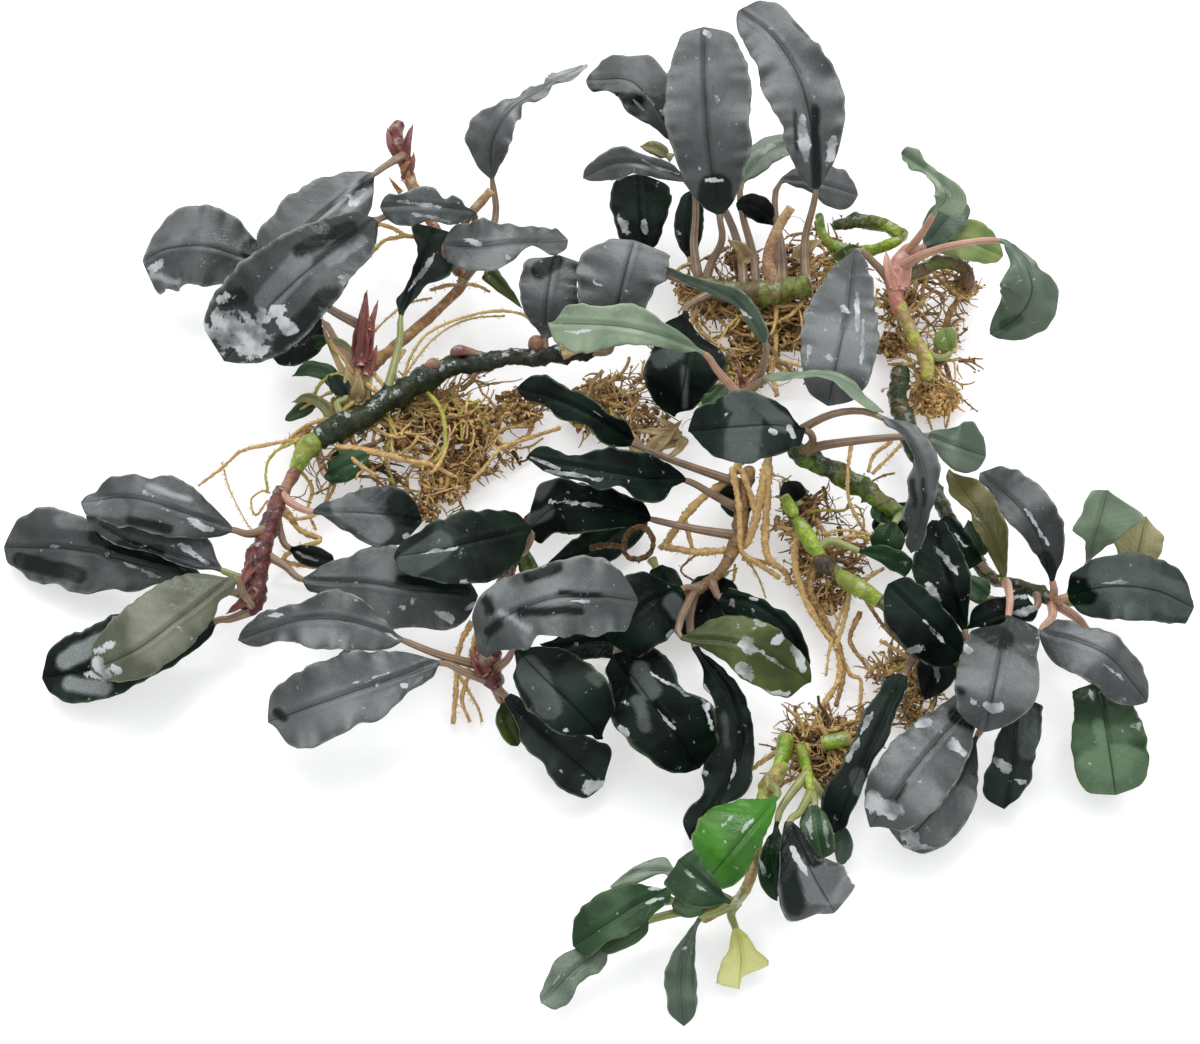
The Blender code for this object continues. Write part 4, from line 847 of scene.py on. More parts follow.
# %% Leaves at the back
grow("""
leaf_back_middle_1 slate brown; shine 1.0 1.2; wave 0.5 5 0.8; fold -10;
stalk 592 351 12, 606 352 13.5; blade 612 345 15, 617 310 20, 626 270 24, 634 240 26;
right 5 11 19 29 37 41 45 49 53 54 69 68 67 63 60;
left 9 45 48 53 59 63 68 73 77 81 81 77 65 46 37;
wet 595 285 603 286 2

leaf_back_middle_2 slate brown; shine 1.3 1.4; wave 0.3 2 0.8; fold 10; turn 20 20;
stalk 699 281 11, 694 245 12.8, 696 210 14.3; blade 690 184 16, 650 166 19, 615 163 18,
583 178 14;
right 4 4 8 15 18 16 20 28 24 19 16 11;
left 4 4 9 13 17 18 19 28 29 24 17 11;
wet 640 160 678 174 1.5

leaf_back_middle_3 slate brown rhizome_left; shine 0.95 0.7; wave 0.8 4 0; fold -8;
stalk 545 356 12, 545 346 13; blade 545 337 14, 547 297 19, 556 254 21;
right 9 27 35 43 50 57 54 50 47 44 42 41 40;
left 4 10 17 26 35 41 45 50 51 49 49 41 8;
dark 540 270 556 262 9

leaf_back_middle_4 dark brown rhizome_back; shine 0.1 0.15; wave 0.2 3 0; fold -8;
stalk 697 282 11, 672 277 10; blade 650 262 10.5, 641 215 13, 638 174 13;
right 4 12 4 21 29 37 45 51 56 54 51 39 19;
left 4 12 14 36 39 44 47 49 51 49 47 43 30;
wet 622 222 626 230 5; wet 643 220 645 232 4

leaf_back_middle_5 slate brown rhizome_back; shine 0.6 1.1; wave 0.4 3 1; fold 6;
stalk 744 292 11.5, 740 252 10.5, 722 205 10.5; blade 676 140 13, 655 106 18, 628 80 20,
586 80 15;
right 4 24 33 41 50 52 52 57 42 46 38 27 18;
left 4 13 17 23 32 43 46 39 32 25 24 24 15;
wet 634 98 644 112 1.5; wet 644 92 662 112 1.2; sheen 610 72 655 75 20;
dark 590 95 640 100 6

leaf_back_tall_1 slate brown; shine 0.68 0.68; wave 0.35 4 2; fold 5;
stalk 704 286 11, 711 264 12.8, 722 240 17; blade 719 214 21, 709 150 28, 705 90 32,
704 27 35;
right 9 24 35 47 57 70 74 71 76 79 75 72 63 55 42;
left 5 21 33 44 52 58 62 70 70 67 65 58 50 43 34;
dark 715 190 716 205 17; wet 705 34 710 36 3; wet 706 180 722 181 2

leaf_back_tall_2 slate brown; shine 0.95 1.05; wave 0.9 5 0.2; fold 5;
stalk 806 284 12.5, 805 240 15; blade 816 189 22, 812 130 29, 798 75 33, 770 34 35,
738 11 34;
right 4 14 25 38 49 60 64 63 54 50 48 51 41 31;
left 4 23 33 42 49 49 60 68 64 53 50 42 33 19;
dark 815 110 816 185 5; dark 795 112 797 150 2; wet 803 118 806 160 5; wet 832 138 830 158 6;
dark 800 20 830 45 7

leaf_back_right_1 haze brown rhizome_back; shine 1.1 1.4; fold 8; turn 10 10;
stalk 758 292 12, 752 250 11, 742 212 12; blade 742 182 12.5, 766 153 14, 798 142 14;
right 5 9 17 22 26 27 26 23 19 13;
wet 750 155 775 145 3

leaf_back_right_2 slate brown rhizome_back; shine 1.2 1.2; fold -5;
stalk 784 290 12, 782 250 11, 775 212 12; blade 781 182 13, 820 184 15, 858 195 12;
right 4 4 9 13 14 21 33 36 35 31 20;
left 4 10 19 24 30 33 35 37 35 26 16

leaf_back_right_3 dark brown rhizome_back; shine 0.1 0.3;
stalk 706 287 11.3, 695 271 9.2; blade 690 258 9, 689 222 10.5, 694 190 11;
right 5 9 16 21 25 26 25 22 18 13

leaf_back_right_4 dark brown rhizome_back; shine 0.1 0.2; fold -20;
stalk 778 290 12, 778 240 11; blade 775 224 11.5, 757 206 13.5, 736 204 12.5;
right 5 9 15 21 24 25 24 21 18 12
""")

# %% [markdown]
# ## Leaves at the right
# A pink crown carries curled leaves, and long bent stalks carry a narrow leaf and a pale one
# over the gap.

# %% Leaves at the right
grow("""
leaf_right_1 haze pink; shine 1.0 0.8; wave 0.8 3 1.2; fold -12;
stalk 899 268 14, 925 254 19, 960 244 23; blade 1001 241 25, 1022 258 27, 1032 290 24,
1018 318 18, 990 334 13;
right 4 5 13 17 24 49 52 53 54 52 53 37 22;
left 4 5 4 7 13 18 41 46 49 38 30 20 12;
dark 1005 325 1018 318 6

leaf_right_2 slate brown; shine 0.8 0.45; wave 0.2 3 0; fold 14;
stalk 786 440 12, 800 430 18, 830 415 22, 860 411 25; blade 884 419 26, 909 440 27,
923 475 25, 921 515 21, 911 553 16;
right 4 8 4 5 8 25 25 29 15 14;
left 4 8 20 26 30 27 19 13 15 13;
dark 912 480 914 505 3; dark 924 480 924 505 2

leaf_right_3 sage pink stem_right_pink; shine 0.45 0.95; wave 0.5 3 0; fold 10; turn 0 50;
stalk 908 252 15.5, 922 233 20; blade 934 214 24, 946 197 27, 935 177 28, 901 153 23;
right 4 5 39 26 12 12 12 23 20 16;
left 4 5 20 18 11 8 10 15 10 9;
wet 945 190 952 195 3; dark 905 152 925 165 4

leaf_right_4 haze pink stem_right_pink; shine 0.3 0.3; wave 0.2 2 0; fold 12;
stalk 908 254 15, 918 249 15; blade 925 245 15.5, 944 222 17.5, 966 202 18;
right 5 10 18 25 29 32 32 30 26 21 15

leaf_right_5 lime pink stem_right_pink; shine 0.3 0.6; wave 0.2 2 0;
stalk 905 258 14.5, 920 250 14; blade 930 246 14, 966 241 15.5, 1003 256 12;
right 4 13 18 24 30 34 33 30 27 20 14;
left 4 11 22 31 35 38 43 35 32 24 15

leaf_right_6 sage brown rhizome_green_upper; shine 0.45 0.45; wave 0.15 2 0; turn 45 45;
stalk 740 397 14, 752 390 18; blade 766 379 21, 803 374 26, 842 379 28, 884 412 25.5;
right 5 14 19 19 12 16 32 32 24;
left 4 8 15 6 12 16 14 1 1

leaf_right_7 haze brown rhizome_green_upper; shine 0.5 0.6; wave 0.2 2 0; fold -5;
stalk 806 455 11.3, 816 447 15, 855 441 19, 898 437 19; blade 928 437 17, 955 446 18,
986 456 15;
right 4 8 13 18 24 32 39 40 38 33 27 17;
left 7 12 18 25 32 38 45 50 51 47 39 30

small_leaf_right_1 lime green stem_right_pink; shine 0.0 0.3;
stalk 922 350 9.3, 938 358 8; blade 950 352 8, 944 328 10;
right 4 4 5 11 16 17 19 18 16 15;
left 4 21 21 23 25 26 23 20 17 13;
wet 941 340 946 338 1

small_leaf_right_2 jade green rhizome_green_upper; shine 0.2 0.3;
stalk 900 515 9.2, 897 519 11; blade 894 524 11.8, 888 539 11.4, 880 555 9;
right 5 10 17 23 27 28 27 24 20 14

small_leaf_right_3 jade green rhizome_green_lower; shine 0.0 0.05; wave 0.15 2 0;
stalk 816 550 11, 832 541 12; blade 860 551 13, 886 556 13, 913 566 12;
right 4 4 6 9 12 16 20 20 21 21;
left 4 4 11 14 17 18 18 17 14 11
""")

# %% [markdown]
# ## Leaves in the centre
# A pale sage leaf and two dark ones meet over the middle, and three leaves arch to the left
# from the hidden middle stem.

# %% Leaves in the centre
grow("""
leaf_centre_1 slate brown; shine 0.9 1.2; wave 0.3 4 0; fold 4;
stalk 895 288 12.5, 877 266 15; blade 856 253 19, 848 310 25, 836 365 23.5, 828 406 18;
right 4 8 17 29 36 47 57 64 68 66 61 53 44 31;
left 9 16 22 27 33 37 42 48 56 61 60 56 46 33;
wet 857 292 857 340 3; wet 864 320 861 365 2; wet 811 345 807 365 2.5; wet 842 306 846 312 3;
wet 830 357 832 360 2

leaf_centre_2 sage pink; shine 0.5 0.6; wave 0.35 3 0.3; fold 8; turn 12 12;
stalk 739 396 14, 717 370 18; blade 703 353 21, 660 335 25, 610 325 26, 548 323 22;
right 4 4 10 16 21 33 40 32 30 33 26 5;
left 4 4 13 16 20 24 31 40 49 49 37 28;
wet 565 330 590 332 2

leaf_centre_3 dark brown; shine 0.15 0.1; wave 0.3 3 1; fold -14;
stalk 716 291 11.5, 694 302 12.5; blade 685 313 14, 687 350 16, 684 385 14.5, 674 417 10;
right 4 8 31 38 47 55 60 65 69 70 68 63 51 35;
left 4 8 7 16 24 33 56 69 64 50 38 29 23 5;
sheen 660 360 676 352 9; sheen 684 370 686 405 3

leaf_centre_4 dark brown; shine 0.3 0.25; wave 0.15 2 0.5; fold 8;
stalk 802 453 11.5, 812 443 16, 811 434 20; blade 803 430 22, 770 424 26, 725 427 26,
688 431 22;
right 4 4 13 26 37 43 52 58 57 52 44 42 40 32;
left 4 28 33 40 47 54 58 65 61 53 42 30 17 6;
sheen 735 399 742 402 12; sheen 745 425 740 462 17; sheen 755 400 785 425 8;
wet 772 429 776 431 3; wet 789 428 793 436 3

leaf_centre_5 haze brown rhizome_green_upper; shine 0.2 0.5; wave 0.2 3 0; fold 6;
turn 45 60;
stalk 740 396 14, 756 384 18, 764 362 22; blade 765 342 25, 747 313 28, 722 293 28,
661 267 23;
right 4 16 20 24 25 18 12 9 7 8 6;
left 4 12 13 11 10 11 12 13 14 10 8;
wet 740 310 752 320 2

leaf_middle_1 dark brown; shine 0.0 0.2; wave 0.3 3 0; fold 12; turn 0 10;
stalk 745 485 8, 700 470 10, 662 456 12; blade 632 442 14, 595 417 17, 555 399 17,
517 388 14;
right 7 16 24 17 21 26 25 28 34 29 18;
left 9 18 28 29 21 24 29 18 17 15 10;
wet 592 408 602 417 1.2

leaf_middle_2 dark brown; shine 0.05 0.3; wave 0.6 4 1; fold 8; turn 0 10;
stalk 741 510 8, 715 496 11; blade 684 480 14, 640 477 18, 580 467 19, 526 458 15;
right 4 17 28 39 44 38 40 25 17 21 25 20;
left 4 11 19 42 40 21 32 22 22 19 13 5;
wet 530 457 560 468 2; wet 545 470 602 479 2

leaf_middle_3 dark brown; shine 0.0 0.15; wave 0.3 2.5 0; fold -8;
stalk 739 536 8, 695 529 9; blade 650 519 10, 600 506 12.5, 560 505 12.5, 524 530 8;
right 4 19 27 29 33 31 30 37 48 47 30 18 6;
left 4 13 20 27 33 41 48 53 50 44 35 35 33;
wet 550 502 604 505 2.2; sheen 538 490 548 478 10; sheen 530 520 548 512 7
""")

# %% [markdown]
# ## Leaves at the far right
# A rosette at the end of the right rhizome. Two of its leaves show their pale undersides.

# %% Leaves at the far right
grow("""
leaf_far_right_1 slate pink; shine 0.4 0.7; wave 0.25 3 0.5; fold 8;
stalk 1050 600 9.5, 1054 592 11; blade 1052 580 13, 1042 545 18, 1022 510 22, 980 473 19;
right 4 11 24 33 42 47 48 49 46 42 35 23;
left 4 5 9 14 20 23 30 29 19 14 12 11;
wet 1026 507 1047 543 2; dark 1045 560 1052 575 8

leaf_far_right_2 dark pink; shine 0.8 1.1; wave 0.3 3 0.5; fold 5;
stalk 1056 602 9.5, 1062 598 13; blade 1069 596 13.8, 1110 586 17, 1155 590 17, 1194 607 12;
right 9 29 40 48 54 57 57 54 51 48 42 36 29;
left 9 33 38 45 48 52 56 52 50 50 45 35 16;
dark 1065 590 1085 592 14; sheen 1105 575 1180 600 18; wet 1095 583 1140 583 1.0

leaf_far_right_3 slate pink; shine 0.95 1.0; wave 0.6 3 1; fold -6;
stalk 1052 604 9.3, 1052 617 12.5; blade 1043 632 15.5, 1078 642 17.5, 1112 659 17,
1147 702 10;
right 6 19 36 45 50 52 53 48 49 44 30 18;
left 9 28 30 29 27 34 38 33 32 30 24 13;
wet 1105 665 1125 680 1.5

leaf_far_right_4 jade pink; shine 0.1 0.6; wave 0.25 2.5 0; fold 6;
stalk 1053 602 9.5, 1085 628 9; blade 1098 684 7, 1107 735 9, 1116 795 4.5;
right 9 41 43 44 45 47 50 56 58 58 58 55 49 38;
left 4 11 22 34 46 51 55 59 60 60 59 55 48 36;
sheen 1100 772 1125 770 26; sheen 1098 725 1104 750 6; wet 1089 690 1092 698 2.5;
wet 1132 725 1138 726 4

leaf_far_right_5 straw green rhizome_right; shine 0.1 0.2; wave 0.2 2 0; fold 6;
stalk 1000 582 8.2, 1004 580 8.5; blade 1004 577 9, 993 540 11.5, 973 505 12, 949 469 11;
right 4 9 13 20 29 31 37 35 27 14 4;
left 4 7 11 15 16 18 11 18 23 16 12

leaf_far_right_6 sage pink rhizome_right; shine 0.25 0.4; wave 0.3 2 0; fold 24;
stalk 1053 602 9.5, 1077 594 9; blade 1088 562 12, 1097 530 17, 1108 490 20;
right 4 4 8 14 21 31 41 52 65 61 36 13;
left 4 6 8 11 15 38 35 32 31 29 27 22;
dark 1100 530 1120 545 5

leaf_far_right_7 straw green rhizome_right; shine 1.2 1.3; wave 0.2 2 0;
stalk 1053 602 9.5, 1100 600 8.5; blade 1128 584 8.5, 1138 551 11, 1146 516 14;
right 4 4 7 16 27 35 36 36 35 18 7;
left 4 8 15 21 27 34 43 38 29 17 7

leaf_far_right_8 dark brown rhizome_right; shine 0.1 0.1; wave 0.4 3 0; fold -12;
stalk 1036 591 9.2, 1038 602 10.5; blade 1034 609 11, 1022 610 11.5, 996 617 11, 966 628 9;
right 9 40 37 33 31 33 34 31 22 4;
left 9 19 20 19 15 15 14 11 5 4;
wet 1008 598 1030 595 3; wet 1012 613 1038 606 4.5

leaf_far_right_9 dark brown rhizome_right; shine 0.05 0.1; wave 0.2 3 0;
stalk 990 575 7.3, 985 569 8; blade 980 563 8.6, 966 543 9.8, 945 516 9.5;
right 7 8 9 10 10 11 12 13 11 9 6;
left 9 40 43 44 43 44 45 47 47 47 43;
wet 950 530 965 545 1.5

leaf_lower_right_1 slate pink; shine 0.3 1.05; wave 0.3 3 0; fold -6;
stalk 1006 583 8.5, 1008 587 12.5, 1010 601 15.5; blade 1008 618 17.5, 1001 655 20,
992 700 19, 984 732 14.5;
right 4 4 9 30 52 56 59 62 63 62 59 54 49 41 28;
left 4 47 52 54 55 56 58 61 66 67 64 54 42 29 15;
dark 975 625 1005 640 10; wet 990 706 998 708 5; wet 965 647 969 650 4;
wet 972 703 975 704 3; dark 958 690 962 692 4

leaf_lower_right_2 dark brown; shine 0.0 0.15; wave 0.3 3 1; fold 10;
stalk 976 682 7, 972 655 9; blade 964 630 10.5, 951 590 13, 939 550 13.5, 932 520 12;
right 4 9 14 21 29 37 37 35 33 30 26 23 19;
left 4 6 12 20 30 43 50 51 44 30 19 13 9;
wet 936 547 957 574 3.5; wet 927 584 938 600 5

leaf_lower_right_3 slate brown; shine 0.85 1.0; wave 0.25 2 0; fold -5;
stalk 974 678 7, 981 688 9.5; blade 975 700 12, 932 748 15, 897 790 15, 870 827 9.5;
right 9 27 32 35 40 46 49 51 53 50 51 42 31 14;
left 4 12 19 29 41 50 57 63 66 66 61 54 42 14;
dark 905 785 895 800 2.5; wet 873 800 893 812 9; wet 918 724 926 723 5;
wet 952 742 962 752 5; dark 955 715 975 725 8

leaf_lower_right_4 dark brown rhizome_green_lower; shine 0.05 0.12; wave 0.3 3 0; fold 6;
stalk 968 673 7, 968 664 8.5; blade 962 656 10.5, 928 622 15.5, 888 584 16;
right 4 11 23 27 30 33 35 37 37 36 34 32 23;
left 4 31 39 47 53 57 58 56 54 49 38 27 17;
wet 926 622 944 643 3; wet 910 651 919 648 5

leaf_lower_right_5 slate brown rhizome_green_lower; shine 0.25 0.9; wave 0.2 2 0; fold 5;
stalk 975 680 7, 990 712 7; blade 976 738 7, 950 790 8, 903 847 4;
right 4 7 16 28 34 39 44 47 48 47 47 44 40;
left 4 5 10 17 24 33 42 48 50 51 45 38 28;
sheen 935 830 960 800 16; wet 903 833 914 840 6; wet 893 846 935 848 2.5

leaf_lower_right_6 dark brown rhizome_green_lower; shine 0.3 0.4; wave 0.2 2 0; fold 6;
stalk 975 680 7, 1008 684 8; blade 1018 700 8.5, 1014 755 8.5, 1004 809 4;
right 5 7 17 21 25 29 32 33 38 40 39 28;
left 9 37 38 39 37 36 34 32 32 25 17 7;
sheen 1028 715 1028 750 10; wet 999 762 1008 769 5; wet 1010 780 1026 784 2.5

leaf_lower_right_7 dark brown rhizome_green_lower; shine 0.2 0.25; wave 0.25 3 0; fold 5;
stalk 925 638 7.7, 912 660 9; blade 903 677 11, 880 725 13, 856 780 11, 834 833 5.5;
right 8 28 24 26 32 29 30 31 40 36 28;
left 7 13 15 14 17 20 13 14 15 13 13;
wet 873 712 860 735 3; wet 858 740 848 760 2.5; sheen 858 775 862 790 8
""")

# %% [markdown]
# ## Leaves at the left
# Long leaves lie almost flat on the table here, so they face the light evenly and their painted
# sheen makes them look grey.

# %% Leaves at the left
grow("""
leaf_left_1 slate brown; shine 0.28 0.45; wave 0.6 3.5 0.7; fold 5;
stalk 254 592 8.3, 232 592 6; blade 210 584 5.5, 140 564 6.5, 75 549 6.5, 4 547 3;
right 4 8 20 27 31 34 34 36 50 59 66 68 56 46;
left 4 4 7 14 28 49 53 68 73 62 63 55 38 28;
dark 95 538 190 568 8; wet 125 563 158 577 1.8; wet 50 546 58 547 2; sheen 60 520 130 530 7;
dark 20 560 80 575 8

leaf_left_2 slate brown; shine 0.45 0.7; wave 0.35 4 1; fold -5;
stalk 268 528 9, 250 534 11; blade 231 529 13.5, 185 513 16, 133 498 16, 81 502 11;
right 4 12 20 30 43 49 52 41 42 39 34 17 11;
left 7 17 26 35 40 47 50 48 51 45 35 27 22;
wet 188 519 210 530 3.5; wet 160 508 174 513 1.2; wet 145 492 151 495 3;
sheen 92 505 118 508 10; gloss 150 486 190 500 3; dark 130 520 170 528 5

leaf_left_3 olive brown; shine 0.55 0.55; wave 0.25 3 0; fold -4;
stalk 252 606 8, 243 594 11; blade 233 580 14, 187 613 16.5, 137 650 15.5, 91 670 10;
right 4 11 32 49 58 64 67 68 68 67 67 62 53 39;
left 9 15 19 17 30 37 44 47 46 47 40 34 25 14;
wet 95 651 113 643 5; wet 97 662 106 674 6; wet 112 667 118 670 4

leaf_left_4 slate green stem_lower_left; shine 0.4 0.4; wave 0.2 2 0;
stalk 255 582 8.5, 238 577 9.5; blade 221 570 10.5, 178 554 12, 130 539 12, 86 516 10;
right 4 16 38 46 44 39 34 27 21 17 12;
left 4 5 12 15 14 11 14 19 18 14 9;
wet 180 545 210 564 3; dark 120 545 160 552 6

leaf_left_5 dark brown stem_lower_left; shine 0.2 0.2; wave 0.3 3 0; fold 5;
stalk 251 611 7.3, 230 619 7; blade 213 622 7, 150 649 7.5, 92 668 6.5, 42 678 3;
right 9 26 42 51 62 68 71 73 69 66 64 60 50 36;
left 9 20 26 31 35 42 45 49 56 55 53 49 35 23;
gloss 66 660 98 642 9; gloss 70 684 104 688 8; wet 85 672 106 680 5

small_leaf_left_2 dark brown stem_lower_left; shine 0.1 0.2;
stalk 275 508 9, 281 535 7; blade 291 549 6.5, 334 562 5.5;
right 5 7 13 17 19 19 17 14 10;
wet 296 552 318 562 1.5

leaf_lower_left_1 slate brown; shine 0.9 0.95; wave 0.8 3.5 0; fold 6;
stalk 489 668 8.5, 440 655 12.5; blade 402 640 15, 355 622 18, 300 620 18, 238 640 11;
right 4 7 16 27 39 49 32 27 28 30 22 14;
left 4 21 32 42 50 50 50 35 26 25 21 11;
wet 262 617 280 615 2.5; wet 385 633 398 640 1.5

leaf_lower_left_2 slate brown; shine 0.9 1.0; wave 0.55 3 1.5; fold 6;
stalk 492 682 7.5, 464 672 10.5; blade 438 663 12, 385 681 14.5, 325 701 13.5, 268 722 8;
right 4 10 22 36 45 52 60 64 62 60 58 54 50 39;
left 4 17 24 28 31 42 59 54 62 63 66 58 45 14;
wet 345 688 390 673 1.2; wet 403 684 406 685 2.5; dark 278 712 284 718 5

leaf_lower_left_3 slate brown; shine 0.55 0.5; wave 0.4 2.5 0.5; fold -5;
stalk 261 552 9, 285 566 10; blade 304 580 10, 355 582 12, 415 590 12, 478 596 8;
right 4 17 20 30 42 53 65 74 64 59 63 58 47 29;
left 4 15 27 35 43 57 67 69 60 52 44 35 28 20;
dark 400 580 465 590 6; wet 435 613 452 619 5; wet 400 607 402 608 2; wet 468 608 474 604 3

leaf_lower_left_4 slate pink; shine 0.45 0.3; wave 0.25 2 0; fold -6;
stalk 281 494 8.5, 296 506 11; blade 315 512 13, 350 512 15.5, 390 516 14.5, 422 522 11;
right 4 4 7 16 26 35 46 53 54 48 38 25 12;
left 4 15 18 22 29 37 44 48 50 51 47 39 24;
dark 398 505 412 515 13; wet 405 536 410 538 3; sheen 345 505 380 530 14

leaf_lower_left_5 dark brown; shine 0.15 0.4; wave 0.3 3 0; fold -6;
stalk 512 556 6.2, 525 550 11; blade 529 531 14, 482 540 17.5, 440 550 18.5, 394 557 15;
right 4 31 37 43 49 52 54 51 48 44 37 30 20;
left 4 16 35 51 59 69 71 64 57 44 38 31 22;
wet 421 554 458 547 1.1; sheen 410 565 440 545 14; wet 460 582 466 583 3
""")

# %% [markdown]
# ## Leaves in the lower middle
# The blackest leaves of the clump, with one broad leaf over them that looks grey by its painted
# sheen, and one mossy green leaf that is still wet, its water painted pale as glare.

# %% Leaves in the lower middle
grow("""
leaf_lower_middle_1 slate brown; shine 0.85 0.85; wave 0.7 4 1.3; fold -6;
stalk 490 666 8.5, 483 660 13; blade 484 654 17, 499 622 21, 550 599 24, 600 597 23,
638 601 19;
right 9 18 47 59 57 62 50 58 65 60 62 57 54 49 22;
left 7 14 24 39 53 59 59 56 60 64 66 63 53 43 27;
dark 530 575 556 567 8; dark 560 592 598 596 3.5; dark 520 612 580 610 4.5;
dark 486 600 490 610 5; dark 490 632 498 624 5; wet 564 600 590 601 1.6;
wet 541 567 547 564 2; gloss 500 612 530 628 3

leaf_lower_middle_2 dark brown; shine 0.25 0.15; wave 0.2 2 0; fold -5;
stalk 493 671 8.5, 506 661 12; blade 517 652 14, 545 680 16, 575 708 16, 603 739 11;
right 4 11 19 33 39 46 52 52 52 49 40 25 10 9;
left 5 16 32 47 58 61 64 67 68 68 64 56 47 9;
sheen 530 670 548 705 14; sheen 592 676 598 680 6; wet 564 730 567 731 2

leaf_lower_middle_3 dark brown; shine 0.2 0.5; wave 0.3 3 0.5; fold 5;
stalk 496 687 7, 501 692 7; blade 508 698 7, 540 730 8.5, 574 760 7.5, 603 786 3.5;
right 7 10 13 16 22 35 37 36 44 48 44 39 31;
left 9 13 14 15 16 19 25 33 41 46 53 47 19;
wet 589 788 600 784 6; wet 562 771 563 772 1.5

leaf_lower_middle_4 dark brown; shine 0.05 0.05; wave 0.3 2 0; fold 7;
stalk 706 585 8.3, 650 605 8, 626 632 9; blade 618 655 10, 650 700 12.5, 680 740 12,
700 768 7;
right 9 19 31 34 39 49 66 71 68 68 60 53 43 31 19;
left 9 42 55 60 61 62 59 53 55 70 72 66 58 52 44;
sheen 640 672 650 690 10; sheen 638 700 646 726 6; wet 650 700 682 742 1.0;
wet 621 729 625 733 4; wet 650 672 690 697 1.5; wet 700 690 712 730 3

leaf_lower_middle_5 moss brown; shine 0.5 0.6; wave 0.3 2.5 0; fold -6;
stalk 693 594 8.5, 688 604 13.5, 680 622 17; blade 682 638 17.5, 725 641 19, 770 656 17.5,
811 682 12;
right 4 5 9 17 26 35 48 53 52 54 48 39 11;
left 4 10 20 31 39 47 48 47 45 36 31 25 16;
wet 745 642 752 652 6; wet 741 668 748 675 6; wet 760 650 785 668 2.5; wet 792 640 803 668 6;
wet 772 642 788 636 5; wet 772 694 788 694 3; wet 757 620 762 624 3

leaf_lower_middle_6 dark brown rhizome_middle; shine 0.05 0.15; wave 0.3 2 0;
stalk 697 591 8.4, 688 588 10.5; blade 680 590 12, 652 600 15, 630 620 15, 612 645 12;
right 7 13 21 32 49 54 59 47 35 29 26 25 22;
left 9 33 41 48 54 59 63 66 65 60 56 51 42;
wet 668 636 672 632 3; sheen 672 600 680 612 9; wet 605 658 615 664 4

leaf_lower_middle_7 dark brown rhizome_middle; shine 0.05 0.1; wave 0.2 2 0;
stalk 712 582 8.2, 716 592 9.5; blade 722 598 10.5, 755 604 12, 788 630 11, 806 672 7;
right 9 29 30 26 26 26 28 25 18 13 10;
left 9 19 16 13 13 13 19 17 16 15 12;
wet 700 592 716 594 3; wet 733 600 735 606 2.5; wet 748 598 756 600 2

leaf_lower_middle_8 dark brown rhizome_middle; shine 0.1 0.2; wave 0.7 4 0;
stalk 694 593 8.5, 690 620 6.5; blade 696 648 6, 726 688 7.5, 741 735 7.5, 726 785 6,
690 840 2.5;
right 7 7 13 30 27 38 43 43 44 24 31 26;
left 6 6 13 17 21 21 19 28 35 10 2 1;
wet 705 685 712 705 3; sheen 724 715 727 745 3; wet 738 750 728 795 1.2;
wet 703 772 705 773 2.5

small_leaf_lower_middle moss brown stem_lower_middle; shine 0.1 0.1;
stalk 496 688 7, 500 700 5.5; blade 503 704 5, 508 725 5, 518 746 3;
right 5 7 12 16 18 18 16 13 9
""")

# %% [markdown]
# ## Leaves of the front sprig
# The lowest sprig has young leaves: one is bright green and one has turned yellow.

